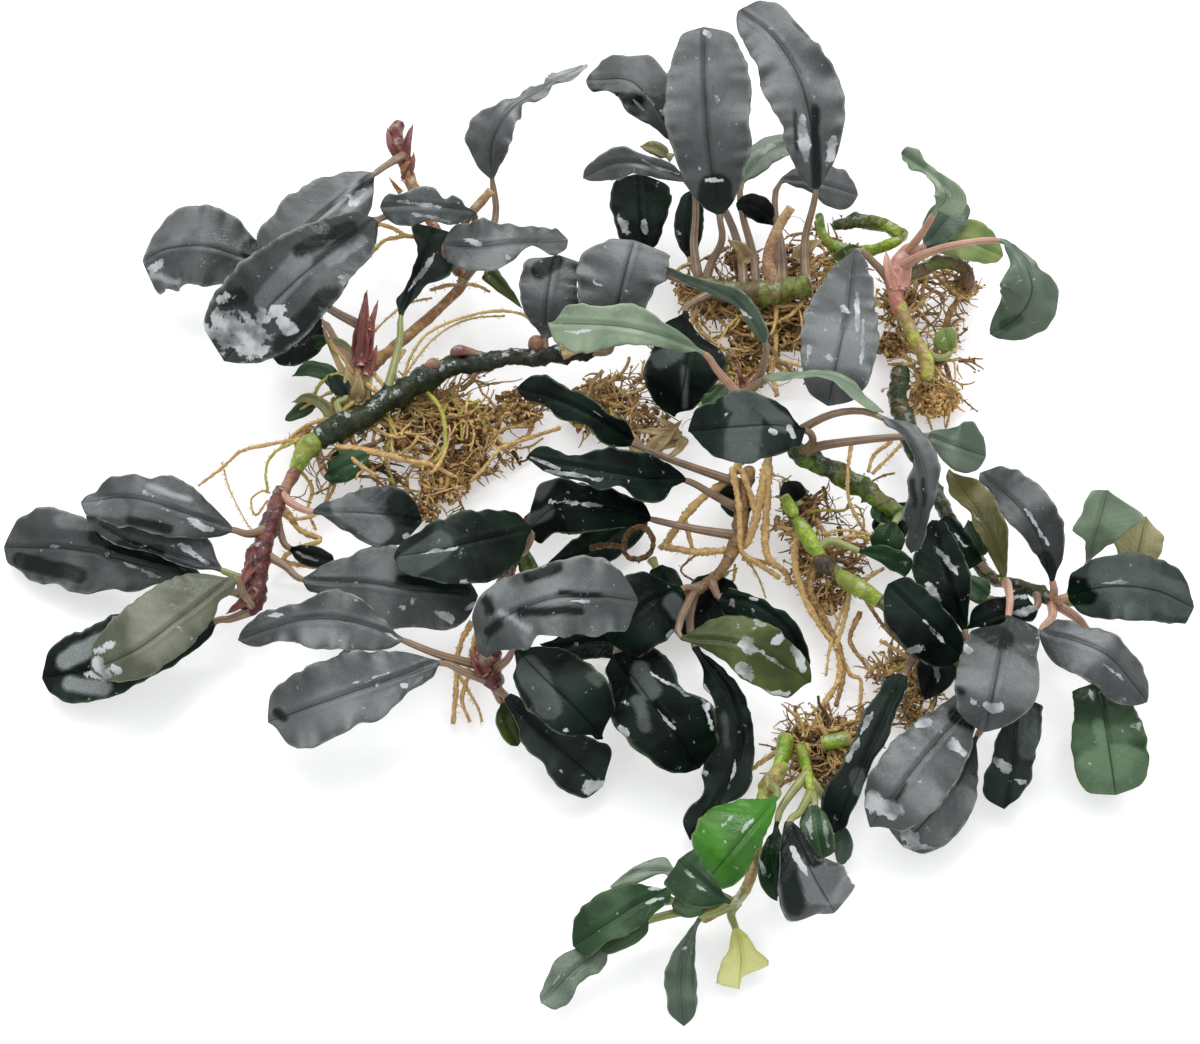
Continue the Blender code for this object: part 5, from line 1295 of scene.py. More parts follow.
# %% Leaves of the front sprig
grow("""
leaf_front_1 green green; shine 0.3 0.25; wave 0.15 2 0; fold -6;
stalk 770 785 8.3, 777 791 12; blade 775 799 15, 752 828 18, 725 860 17.5, 702 885 13;
right 4 7 18 31 43 55 65 70 71 66 62 54 18 4;
left 4 5 10 13 17 21 24 28 33 37 37 32 24 12;
wet 722 828 732 818 2.5; wet 742 832 762 808 1.2

leaf_front_2 slate green; shine 0.35 1.0; wave 0.25 2 0; fold -10;
stalk 811 793 9.8, 800 812 12; blade 790 824 13.5, 807 862 16, 821 890 13.5, 834 913 8;
right 9 12 16 22 29 37 46 55 64 67 66 34 19 10;
left 5 9 14 16 18 20 24 35 47 51 51 51 50 49;
dark 800 835 812 845 14; sheen 815 885 840 885 20; wet 792 848 806 872 4;
dark 782 850 795 905 11; dark 800 838 815 860 8

leaf_front_3 jade green stem_bottom_sprig; shine 0.3 0.3;
stalk 742 895 6, 737 902 12, 735 904 18; blade 729 902 20, 706 884 22, 678 860 20;
right 4 4 5 8 11 15 18 21 23 26 28 30;
left 4 6 14 25 35 43 45 46 47 43 39 11;
wet 682 868 705 893 1.5

leaf_front_4 jade green stem_bottom_sprig; shine 0.3 0.4; wave 0.25 3 0; fold 8;
stalk 735 904 5.3, 705 900 7; blade 675 889 8.5, 640 903 11, 605 925 10.5, 573 946 7;
right 4 6 5 16 27 37 43 45 43 38 32 17;
left 4 6 19 22 24 31 32 30 24 26 28 23;
wet 644 904 664 898 2; wet 648 890 664 886 3

leaf_front_5 haze green stem_bottom_sprig; shine 1.2 1.4; wave 0.15 2 0;
stalk 735 904 5.3, 702 886 6; blade 675 873 6.5, 640 872 7.5, 610 887 6;
right 4 10 21 21 18 12 8 7 5 3;
left 4 10 4 6 11 15 16 12 7 5

leaf_front_6 haze green stem_bottom_sprig; shine 0.5 1.1; wave 0.3 3 1; fold 8;
stalk 735 904 5.3, 680 912 5, 635 925 5; blade 607 945 5.5, 575 970 6, 541 1003 3;
right 4 4 9 14 26 30 32 26 20 14 11;
left 4 9 20 25 26 20 20 28 30 26 21;
wet 552 985 572 965 1.2

leaf_front_7 haze green stem_bottom_sprig; shine 0.25 0.45; wave 0.2 2.5 0; fold 10;
stalk 738 900 5.7, 718 912 6.5; blade 699 920 7, 684 957 8, 681 992 6, 684 1026 3;
right 4 4 7 11 17 23 26 21 22 11;
left 4 4 6 11 16 20 24 24 22 14;
dark 695 935 692 985 2

leaf_front_8 yellow green stem_bottom_sprig; shine 0.4 0.7; wave 0.25 2 0;
stalk 737 902 5.5, 731 914 4; blade 736 930 3.5, 741 957 4, 739 989 2;
right 6 8 11 14 18 22 27 31 33 35 34 33;
left 6 11 15 17 21 26 37 41 21 5 2 1

leaf_front_9 jade green stem_bottom_sprig; shine 0.05 0.1; wave 0.2 3 0;
stalk 808 772 9, 783 805 9.5; blade 777 823 9.5, 771 860 10, 777 901 5;
right 4 4 4 8 13 17 21 22 20 15 9;
left 4 4 10 14 16 19 20 19 15 11 3;
wet 760 858 764 875 2

leaf_front_10 jade green stem_bottom_sprig; shine 0.5 0.6;
stalk 812 795 10, 814 800 11; blade 815 807 11.5, 819 832 11.5, 824 858 8;
right 9 17 21 26 28 26 22 17 12 8;
left 4 9 14 17 19 21 21 21 20 18;
wet 811 815 812 838 2.5; wet 824 822 828 846 3

small_leaf_front haze green stem_bottom_sprig; shine 0.1 0.2;
stalk 810 780 9.5, 830 806 5.5; blade 838 822 3.8, 846 843 3.6, 840 865 2.6;
right 4 5 10 15 19 20 19 16 11 7;
left 4 4 6 8 10 11 11 12 9 7
""")

# %% [markdown]
# ## Small leaves, sheaths and scales
# A new leaf of this plant comes out of a sheath, and old sheaths dry to brown husks that stay on
# the stem. They are too thin and too many for the plain model, so they have no solid there. The
# leaf builder makes them from a course, a half width and one outline.

# %% Growing scales and small leaves
LEAFLETS = ("jade", "dark", "straw")
LEAFLET_OUTLINE = (0.5, 0.85, 1, 1, 0.9, 0.66, 0.3, 0)
SCALE_OUTLINE = (1, 1, 0.9, 0.75, 0.6, 0.4, 0.2, 0)
SCALE_FOLD = 12


def sprout(text):
    """Scales and small leaves without a solid, each as name, look, half width: course: mark."""
    rows = [row.split(":") for row in text.split(";")]
    for words, course, *marks in rows:
        name, look, reach = words.split()
        course, reach, leafy = rows_of(course), float(reach), look in LEAFLETS
        outline = LEAFLET_OUTLINE if leafy else SCALE_OUTLINE
        half = [round(reach * 10 * share) for share in outline]
        foot, after = np.array(course[0]), np.array(course[1])
        stub = tuple(foot + (0.3 if leafy else 0.1) * (after - foot))
        shine = (0.05, 0.15) if look == "dark" else (0.5, 0.7)
        marks = [(mark.split()[0], *numbers(mark.split(maxsplit=1)[1])) for mark in marks]
        build_leaf(Leaf(name, None, course[:1], [stub, *course[1:]], half, half, (0, 0),
                        SCALE_FOLD, look, shine, (0.2, 2, reach), marks,
                        "pink" if look in ("red", "pink") else "green"))
    print("sprouted:", ", ".join(words.split()[0] for words, *_ in rows))


print("leaflets have the looks", ", ".join(LEAFLETS))

# %% [markdown]
# Red scales wrap the shoots at the left, and brown husks stand at the crowns. A row holds the
# piece's name, its look and its half width in millimetres, and then its course.

# %% Sheaths and scales
sprout("""
shoot_scale_1 red 1.25: 361 365 12, 363 340 14.5, 365 312 16, 367 290 16.5;
shoot_scale_2 red 1.1: 358 362 12, 357 338 14, 359 316 15.5;
shoot_scale_3 red 1.1: 365 362 12, 370 336 14.5, 375 312 15.5;
shoot_scale_5 red 0.7: 369 330 14.6, 374 314 15.8, 378 300 15.6;
shoot_scale_4 red 1.0: 366 375 11, 374 355 12.5, 377 345 12.5;
tip_scale_1 red 1.0: 402 160 14, 391 145 15.5, 387 128 15.8;
tip_scale_2 red 1.0: 404 160 14, 408 140 15.5, 413 124 15.8;
tip_scale_3 red 0.9: 404 182 13, 412 165 14.5, 414 152 15;
rust_spike rust 0.5: 401 193 12.5, 394 184 13.5, 389 177 14;
husk_1 husk 0.7: 352 388 9, 338 362 11, 326 335 12, 322 316 12.5;
husk_2 husk 1.5: 356 405 8, 350 385 10, 346 365 11;
husk_3 husk 1.5: 362 405 8, 366 385 10, 372 368 10.5;
husk_4 husk 1.7: 356 410 7, 358 390 10, 360 372 11.5;
husk_5 husk 1.5: 648 455 6, 662 440 7.5, 682 420 7.5;
husk_6 husk 1.3: 640 452 6, 632 440 7, 624 424 7;
husk_7 husk 1.6: 560 352 13, 578 347 13.8, 600 346 13;
husk_8 husk 1.2: 958 596 8, 962 612 8, 968 636 7.5;
husk_9 husk 1.0: 680 436 6.5, 660 432 8, 634 430 7;
husk_10 husk 1.0: 680 440 6, 662 446 7, 640 452 5.5;
husk_11 husk 0.9: 676 434 6.5, 668 424 8, 656 418 8;
husk_12 husk 0.9: 684 440 6.5, 676 452 7, 662 460 6;
stipule_red red 0.55: 744 388 14, 740 375 15.5, 736 360 16;
stalk_end_olive moss 1.6: 488 272 9, 500 285 9.5, 512 297 9.5, 522 308 9;
sheath_back_1 husk 1.6: 748 262 11, 740 248 13, 728 240 14;
sheath_back_2 husk 1.8: 800 262 11, 806 248 13, 822 240 13.5;
sheath_back_3 moss 1.4: 838 262 11, 848 250 13, 862 247 13;
crown_sheath_1 pink 1.2: 896 290 13, 888 268 15, 886 250 15.5;
crown_sheath_2 pink 1.2: 902 290 13, 908 262 15.5, 920 240 16;
crown_sheath_3 moss 1.2: 908 262 14, 936 244 15, 968 236 14.5;
sheath_lower_left_1 red 1.2: 258 560 10, 246 575 11, 240 592 10;
sheath_lower_left_2 red 1.2: 256 590 9.5, 240 604 9.5, 226 614 8;
sheath_lower_middle red 1.4: 486 676 10, 478 662 11, 470 650 10.5
""")

# %% [markdown]
# The small leaves fill the dark middle of the clump and stand behind its large ones. Two of them
# carry a mark of their own.

# %% Small leaves
sprout("""
leaflet_centre jade 1.8: 700 408 12, 712 400 13, 728 384 13;
leaflet_back straw 1.3: 672 158 18, 655 148 18.5, 640 146 18;
leaflet_fold moss 1.6: 530 572 5, 524 556 6, 516 538 6;
leaflet_right_1 jade 2.1: 990 600 9, 978 590 10, 962 578 10;
leaflet_right_2 jade 2.0: 982 562 7, 976 542 8.5, 968 520 8.5;
leaflet_right_3 jade 2.4: 882 528 8, 886 512 9, 892 498 9: wet 886 512 890 504 3;
leaflet_right_4 dark 3.0: 880 545 6, 892 525 7, 906 502 7;
leaflet_right_5 dark 3.4: 945 640 6, 938 668 6.5, 925 700 5: wet 935 660 938 680 3;
leaflet_middle_1 dark 2.2: 800 505 9, 792 492 10, 784 482 10;
leaflet_middle_2 dark 3.0: 640 650 4, 600 640 4.5, 560 648 4, 540 644 3;
leaflet_middle_3 dark 4.2: 690 620 3, 650 615 3.5, 600 620 3, 568 615 2.5;
leaflet_middle_4 dark 3.6: 640 500 3.5, 620 530 3.5, 580 556 3, 545 566 2.5;
leaflet_middle_5 dark 2.6: 652 560 4.5, 668 590 5, 690 640 4.5;
leaflet_middle_6 dark 4.0: 724 572 7, 716 590 6, 700 612 4.5, 668 628 3.5:
  sheen 676 596 688 610 4;
leaflet_middle_7 dark 2.6: 744 520 7, 738 506 7, 730 490 6, 722 478 5;
leaflet_front_1 jade 2.2: 650 915 7, 630 930 7.5, 605 945 6, 592 958 5;
leaflet_front_2 jade 2.0: 668 900 7, 690 905 8, 712 900 8;
leaflet_left_1 jade 1.5: 340 392 8.5, 328 374 9.5, 310 369 10, 292 376 8.5;
leaflet_left_2 straw 1.0: 338 426 9, 322 404 9.5, 306 398 9.5, 292 402 8.5;
leaflet_left_3 dark 2.2: 330 470 6, 345 462 7, 366 458 6.5
""")

# %% [markdown]
# ## The finish of a stem
# A rhizome is a creeping stem, green where it is young and brown to black where it is old, with
# thin ring scars where leaves once grew. Water makes it shine, and that shine is painted as pale
# glints along its top. Its skin is an old and a young colour that meet in ragged blotches, the
# scars are darker, and a cut end shows pale wood.

# %% Bark
CUT_WOOD = (0.42, 0.34, 0.20)
# The pale colour of painted highlights on stems.
PAINTED_GLINT = (0.60, 0.63, 0.62)
TOP_OF_STEM = math.pi / 2


def bark(name, young, old, scar, crust, rough, painted_glints):
    """A stem's skin: young and old in blotches, with scars, crust, painted highlights and a pale
    cut.
    """
    f = Finish(name, 0.3)
    blotch = f.step(f.grain(300, 4.0, 0.65), 0.36, 0.64)
    speck = f.step(f.grain(1400, 3.0, 0.6), 0.40, 0.62)
    patch = f.step(f.grain(190, 3.0, 0.6), 0.52, 0.60)
    colour = f.mix(f.sums("ADD", f.red, f.line(blotch, 1.1, -0.55), clamp=True), old, young)
    colour = f.mix(f.times(speck, 0.35), colour, scar)
    colour = f.mix(f.times(patch, f.line(speck, 0.5, 0.3)), colour, crust)
    colour = f.mix(f.times(f.green, 0.85), colour, scar)
    # Painted highlight: pale glint patches along the top of the stem, the side that faces the
    # light.
    from_top = f.sums("ABSOLUTE", f.sums("SUBTRACT", f.across, TOP_OF_STEM))
    shine = f.times(f.step(from_top, 0.8, 0.1), f.step(f.grain(620, 3.0, 0.6), 0.55, 0.62))
    colour = f.mix(f.times(shine, painted_glints), colour, PAINTED_GLINT)
    colour = f.mix(f.blue, colour, CUT_WOOD)
    f.dents(f.sums("ADD", f.times(blotch, 0.6), f.times(speck, 0.4)), 0.3, 0.6)
    return f.finish(colour, f.line(blotch, 0.2, rough - 0.1))


print("a stem's finish has glints along its top, within 0.8 of a radian")

# %% [markdown]
# Each bark is a line of text: its young, old, scar and crust colours, and then how rough it is
# and how strong its painted highlights along the top are. The first twelve are the stems' own,
# and the rest are for branches and ends that have a colour of their own.

# %% The barks of the stems
BARK_COLOURS = """
rhizome_left: 0.013 0.027 0.005, 0.003 0.007 0.003, 0.003 0.004 0.003, 0.03 0.022 0.01, 0.14 0.5
stem_lower_left: 0.085 0.014 0.016, 0.15 0.045 0.032, 0.012 0.004 0.006, 0.02 0.006 0.01, 0.16 0.45
runner_upper_left: 0.4 0.23 0.085, 0.25 0.115 0.045, 0.08 0.035 0.02, 0.17 0.1 0.05, 0.28 0.25
rhizome_back: 0.15 0.19 0.03, 0.1 0.07 0.025, 0.035 0.02 0.01, 0.17 0.1 0.05, 0.28 0.25
rhizome_mossy: 0.22 0.29 0.025, 0.035 0.06 0.012, 0.02 0.03 0.008, 0.17 0.1 0.05, 0.2 0.25
stem_right_pink: 0.5 0.25 0.19, 0.42 0.15 0.11, 0.28 0.08 0.065, 0.52 0.32 0.22, 0.3 0.25
rhizome_right: 0.045 0.055 0.015, 0.02 0.04 0.01, 0.008 0.008 0.005, 0.17 0.1 0.05, 0.18 0.25
rhizome_green_upper: 0.1 0.19 0.012, 0.018 0.026 0.01, 0.012 0.012 0.006, 0.17 0.1 0.05, 0.24 0.25
rhizome_green_lower: 0.1 0.085 0.02, 0.1 0.19 0.012, 0.03 0.03 0.01, 0.17 0.1 0.05, 0.24 0.25
rhizome_middle: 0.17 0.095 0.035, 0.3 0.17 0.065, 0.06 0.03 0.015, 0.17 0.1 0.05, 0.5 0.25
stem_lower_middle: 0.1 0.016 0.02, 0.1 0.035 0.02, 0.012 0.005 0.006, 0.17 0.1 0.05, 0.18 0.25
stem_bottom_sprig: 0.46 0.31 0.15, 0.28 0.33 0.045, 0.12 0.08 0.02, 0.17 0.1 0.05, 0.28 0.25
bark_lime: 0.3 0.4 0.035, 0.12 0.22 0.012, 0.06 0.09 0.01, 0.26 0.24 0.06, 0.14 0.25
bark_tan: 0.46 0.3 0.15, 0.28 0.15 0.075, 0.1 0.05 0.03, 0.17 0.1 0.05, 0.28 0.25
bark_pink: 0.3 0.16 0.1, 0.17 0.07 0.05, 0.08 0.03 0.02, 0.17 0.1 0.05, 0.28 0.25
bark_red: 0.2 0.045 0.035, 0.075 0.012 0.012, 0.03 0.008 0.006, 0.24 0.09 0.06, 0.2 0.25
bark_yellow: 0.36 0.24 0.1, 0.42 0.46 0.05, 0.12 0.1 0.02, 0.17 0.1 0.05, 0.2 0.25
bark_olive: 0.15 0.075 0.04, 0.12 0.16 0.03, 0.03 0.02 0.01, 0.17 0.1 0.05, 0.28 0.25
bark_joint: 0.03 0.03 0.02, 0.1 0.055 0.03, 0.02 0.01 0.01, 0.17 0.1 0.05, 0.28 0.25
"""
BARKS = {}
for row in BARK_COLOURS.strip().splitlines():
    name, colours = row.split(":")
    *colours, (rough, painted_glints) = rows_of(colours)
    BARKS[name] = bark(name, *colours, rough, painted_glints)
print("barks:", ", ".join(BARKS))

# %% [markdown]
# ## Stems
# A stem is a row of rings whose radius wanders, with a thin ridge at each leaf scar and knobs
# where buds and roots have broken out. Rounded ends close like a fingertip, and a cut end stays
# square. A row gives the courses of the plain solid's stem, and which of its ends are cut.

# %% The stem builder
STEM_SIDES = 18
STEM_RING_EVERY = 0.36
SCAR_EVERY = 3.1
SCAR_RISE = 0.10
SCAR_HALF_LONG = 0.22
KNOB_EVERY = 2.0
KNOB_REACH, KNOB_RISE = (0.25, 0.65), (0.15, 0.5)
LEAST_UP = 0.1


def knobs(drawn, where, total, angle, scars):
    """How far buds swell the stem at each point, as a share of its radius."""
    swell = np.zeros((len(where), STEM_SIDES))
    for _ in range(int(total / KNOB_EVERY * scars)):
        at, turn = drawn.uniform(0, total), drawn.uniform(0, 2 * math.pi)
        reach = drawn.uniform(*KNOB_REACH)
        off = 2.0 * np.sin((angle[None] - turn) / 2)
        gap = ((where[:, None] - at) / reach) ** 2 + (off / reach) ** 2
        swell += drawn.uniform(*KNOB_RISE) * np.exp(-gap)
    return swell


def lumps(places, outward, along_scale, round_scale):
    """Noise at each point of the rings, from -1 to 1."""
    return np.array([[noise.noise(Vector(place * along_scale + way * round_scale)) for way in ways]
                     for place, ways in zip(places, outward)])


def stem_rings(rows, cut, scars, slim, seed):
    """A stem's rings in mm, each point's place on it and its tones."""
    course = smooth_course([[*spot(*row[:3]), row[3] * slim] for row in rows])
    total = lengths_along(course)[-1]
    where = np.linspace(0, total, max(8, round(total / STEM_RING_EVERY)))
    points = at_lengths(course, where)
    places, radius = points[:, :3], points[:, 3]
    along = unit(np.gradient(places, axis=0))
    side = unit(np.cross(along, [0.0, 0.0, 1.0]))
    up = np.cross(side, along)
    angle = np.linspace(0, 2 * math.pi, STEM_SIDES, endpoint=False)
    outward = side[:, None] * np.cos(angle)[:, None] + up[:, None] * np.sin(angle)[:, None]
    slow, fast = lumps(places, outward, 0.32, 0.7), lumps(places, outward, 1.1, 1.6)
    step = where[:, None] + 0.5 * np.cos(angle + seed)[None] + 1.6 * slow
    to_scar = (step + SCAR_EVERY / 2) % SCAR_EVERY - SCAR_EVERY / 2
    scar = np.exp(-(to_scar / SCAR_HALF_LONG) ** 2) * scars
    swell = knobs(random.Random(seed), where, total, angle, scars)
    rough = 0.2 + 0.8 * scars
    grow_out = 1 + rough * (0.42 * slow + 0.22 * fast) + SCAR_RISE * scar + swell
    for is_cut, gap in zip(cut, (where, total - where)):
        if not is_cut:
            from_tip = np.clip(1 - gap / (1.1 * radius), 0, 1)
            grow_out *= np.sqrt(np.clip(1 - from_tip ** 2, 0.02, 1))[:, None]
    rings = places[:, None] + outward * (radius[:, None] * grow_out)[..., None]
    rings[..., 2] = np.maximum(rings[..., 2], LEAST_UP)
    tones = np.ones((*grow_out.shape, 4))
    tones[..., 0] = (where / total)[:, None]
    tones[..., 1] = np.clip(scar - 0.7 * swell, 0, 1)
    tones[..., 2] = 0
    tones[0, :, 2], tones[-1, :, 2] = cut
    on = np.stack(np.broadcast_arrays(where[:, None] / 4, angle[None]), axis=-1)
    return rings, on, tones, np.zeros((len(where) - 1, STEM_SIDES), int)


def raise_stem(name, text):
    """A stem's courses, each a piece of its own, in place of the solid."""
    courses = text.split(";")
    for i, row in enumerate(courses):
        words, course = row.split(":")
        start, end, scars, slim, *other = words.split()
        cut = (start == "cut", end == "cut")
        rings = stem_rings(rows_of(course), cut, float(scars), float(slim), len(name) + i)
        finish = BARKS[other[0] if other else name]
        piece = skin(f"{name}_branch_{i}" if i else f"{name}_bark", *rings, [finish])
        stands_for(piece, name)
    print(name, "in", len(courses), "courses")


print("stem rings every", STEM_RING_EVERY, "mm, scars every", SCAR_EVERY, "mm")

# %% [markdown]
# Each course says how its two ends close, how strong its scars are, how slim it is beside the
# plain solid, and which bark it has if not the stem's own. A place on it is pixels across and
# down, the height and the radius.

# %% Stems of the left half
raise_stem("rhizome_left", """
round round 1.0 0.92: 598 350 12 1.3, 560 354 12 1.5, 520 357 12 1.6, 480 362 12 1.6,
  450 368 11.5 1.8, 420 381 11 2.1, 390 399 10.5 2.0, 360 418 10 2.2, 330 432 9.5 2.3,
  312 440 9 1.9;
round round 0.6 0.9 bark_lime: 322 437 9.2 2.0, 311 444 9 1.9, 302 457 8.5 1.7, 294 474 8 1.4;
round round 0.5 0.9 bark_pink: 300 462 8.2 1.2, 293 476 8 1.2, 287 486 8 1.1, 281 500 8.4 1.3;
round round 0.3 1.0 bark_pink: 424 374 11.6 0.9, 432 366 12.4 1.2, 441 363 12.8 0.9;
round round 0.3 1.0 bark_pink: 452 358 12.2 0.7, 458 351 13.0 1.0, 470 352 13.0 0.8,
  484 357 12.4 0.6;
round round 0.0 1.0 bark_pink: 530 351 12.4 1.0, 537 343 13.2 1.5, 544 337 13.6 0.7""")
raise_stem("stem_lower_left", """
round round 1.0 0.92: 283 488 8 1.4, 275 510 9 1.5, 267 532 9 1.7, 258 560 9 2.2,
  254 582 8.5 2.2, 254 600 8 1.7, 247 616 7 1.0""")
raise_stem("runner_upper_left", """
round round 0.5 0.85: 404 160 13.5 1.5, 412 185 12.5 1.3, 428 216 11 1.1, 448 252 10 1.0,
  463 281 9 1.0, 436 311 8.5 1.0, 405 338 8.5 1.1, 381 358 9 1.3, 362 374 9.5 1.7,
  356 388 9.5 1.6;
round round 0.9 0.8 bark_red: 399 121 14 1.5, 396 140 14 1.7, 404 160 13.5 1.6,
  410 180 12.8 1.2;
round round 0.6 0.7 bark_red: 360 374 9.5 1.7, 361 350 12 1.5, 364 320 14 1.2, 366 292 16 0.4;
round cut 0.2 1.0 bark_tan: 462 226 12.4 0.7, 474 210 14.2 0.8, 491 190 16.5 0.8""")

# %% [markdown]
# Two rhizomes lie behind the tall leaves. The thick olive one ends in a pale cut.

# %% Stems of the back
raise_stem("rhizome_back", """
round cut 1.0 0.88: 694 281 11 1.5, 716 291 11.5 1.9, 750 293 12 2.2, 785 290 12 2.2,
  811 284 12.5 2.0;
round cut 0.1 0.72 bark_tan: 776 290 12 1.9, 768 262 14 1.5, 776 232 17 1.3, 791 207 20 1.1""")
raise_stem("rhizome_mossy", """
round cut 1.0 0.72: 832 226 10 1.2, 858 221 10.5 1.8, 885 226 11 1.6, 905 238 11 1.5;
round round 0.6 0.72 bark_lime: 819 213 9.5 0.9, 823 236 9.5 1.2, 842 249 9.5 1.4,
  872 250 9.5 1.4, 903 238 11 1.2""")

# %% [markdown]
# At the right a pink stem rises from a yellow bend, a dark rhizome runs out to the far crown, and
# two green rhizomes lie one above the other.

# %% Stems of the right half
raise_stem("stem_right_pink", """
round round 0.2 0.8: 899 316 10.8 1.0, 896 298 12 1.6, 895 282 12.6 2.2, 900 263 14 2.2,
  914 244 16 1.3;
round round 0.6 0.72 bark_yellow: 928 381 8 1.3, 925 355 9 1.6, 912 335 10 1.5,
  903 314 11 1.5, 898 300 12 1.5;
round round 0.5 0.8 bark_olive: 897 282 12.7 1.3, 920 270 11.5 1.4, 945 262 11 1.5,
  966 270 10 1.4, 968 290 9 1.2""")
raise_stem("rhizome_right", """
round round 1.0 0.86: 903 366 7.5 1.5, 897 393 7 1.8, 906 425 6.5 1.8, 925 470 6 1.6,
  955 530 5.5 1.4, 985 571 7 1.2, 1006 583 8.5 1.1, 1030 588 9.5 1.1, 1054 602 9.5 1.2""")
raise_stem("rhizome_green_upper", """
round round 1.0 0.84: 736 394 14 1.5, 765 421 13 1.7, 800 452 11.5 1.9, 835 472 10.5 2.0,
  862 488 10 2.0, 886 505 9.5 1.9, 904 519 9 1.5""")
raise_stem("rhizome_green_lower", """
round round 1.0 0.6: 795 520 11.5 1.5, 811 544 11 1.7, 829 566 10.5 1.8, 848 582 10 1.6,
  880 602 9.5 1.6, 915 630 8 1.4, 950 655 7 1.4, 977 682 7 1.3;
cut round 0.2 0.7 bark_lime: 784 497 12 1.3, 791 508 11.8 1.4, 797 517 11.6 1.1;
round round 0.3 0.8 bark_lime: 796 517 11.6 1.2, 805 533 11.4 1.6, 814 547 11.2 1.6,
  824 559 10.8 1.3;
round round 0.6 0.8 bark_joint: 814 556 11 1.2, 826 565 10.6 1.8, 836 574 10.4 1.5;
round cut 0.2 0.82 bark_lime: 836 573 10.6 1.4, 850 583 10.4 1.8, 866 592 10.2 1.8,
  880 601 10 1.6""")

# %% [markdown]
# A brown rhizome is mostly hidden in the middle. The lowest sprig has a short stem of its own,
# tan at its middle and green at its three cut ends.

# %% Stems of the middle and the front
raise_stem("rhizome_middle", """
round round 1.0 0.62: 750 466 8 1.6, 743 500 8 1.8, 738 538 8 1.7, 722 570 8 1.4,
  692 594 8.5 1.3""")
raise_stem("stem_lower_middle", """
round round 1.0 0.9: 590 488 5.5 1.4, 560 498 5 1.4, 532 522 5 1.4, 514 552 6 1.4,
  505 585 7 1.4, 495 630 8 1.5, 490 666 8.5 2.2, 497 690 7 1.4""")
raise_stem("stem_bottom_sprig", """
round round 0.6 0.8: 785 762 8 1.2, 776 776 8.3 1.7, 767 790 8.5 1.7, 759 830 8 1.1,
  752 870 6.5 1.1, 742 895 6 1.0, 722 910 5.2 0.8, 702 922 4.6 0.7;
cut round 0.2 0.78 bark_lime: 786 737 7.4 1.7, 784 750 7.6 1.7, 778 768 8 1.4,
  768 786 8.6 1.2;
round round 0.2 0.66 bark_lime: 800 744 7.5 1.5, 807 770 9 1.2, 812 797 10 0.9;
cut cut 0.2 0.76 bark_lime: 822 743 7 1.5, 834 741 7.4 1.7, 848 738 7.2 1.4""")

# %% [markdown]
# ## Roots
# The roots are what the clump stands on: golden main roots that fork, a felt of finer ones
# round them, and brown crumbs that cling to both. Particles or hair would be quick, but they are
# not kept as a mesh. Here every root is a thin tube along its own line, every crumb is a dented
# ball, and each mat of them is one mesh.

# %% The finish of roots
ROOT_GREEN = (0.36, 0.40, 0.06)
ROOT_DARK = (0.022, 0.012, 0.008)


def root_finish(name, light, dark, specular=0.25):
    """Roots: light to dark by each root's own shade, fuzzy with grains."""
    f = Finish(name, specular)
    fuzz = f.step(f.grain(1100, 4.0, 0.7), 0.36, 0.64)
    share = f.sums("ADD", f.red, f.line(fuzz, 0.5, -0.25), clamp=True)
    colour = f.mix(f.green, f.mix(share, dark, light), ROOT_GREEN)
    colour = f.mix(f.blue, colour, ROOT_DARK)
    f.dents(fuzz, 0.25, 0.8)
    return f.finish(colour, 0.55)


ROOTS = root_finish("roots", (0.66, 0.44, 0.18), (0.13, 0.055, 0.018))
CRUMBS = root_finish("root_crumbs", (0.62, 0.38, 0.13), (0.11, 0.045, 0.015), 0.35)
print("root finishes:", ROOTS.name, CRUMBS.name)

# %% [markdown]
# `strands` takes every root as a line of places, a radius at each end and a shade, and lays
# rings along it. A thick root gets more sides than a fine one, and a rough outline from its
# fuzz of hairs.

# %% The root builder
NEAR_TABLE = 0.02
ROOT_RING_EVERY = 0.4
SLIMMER = 0.92
ROUGHNESS = (0.74, 1.26)
HAIR_LENGTH, HAIR_RADII, HAIRS_KEPT = (0.25, 0.8), (0.09, 0.04), 0.75


def bundle(name, points, faces, tones, finish):
    """One mesh object from points in mm, with a tone at each point."""
    mesh = bpy.data.meshes.new(name)
    mesh.from_pydata((points * MM).tolist(), [], faces)
    mesh.materials.append(finish)
    mesh.uv_layers.new(name="place")
    print(name, "has", len(faces), "faces")
    return put_in_scene(name, mesh, tones)


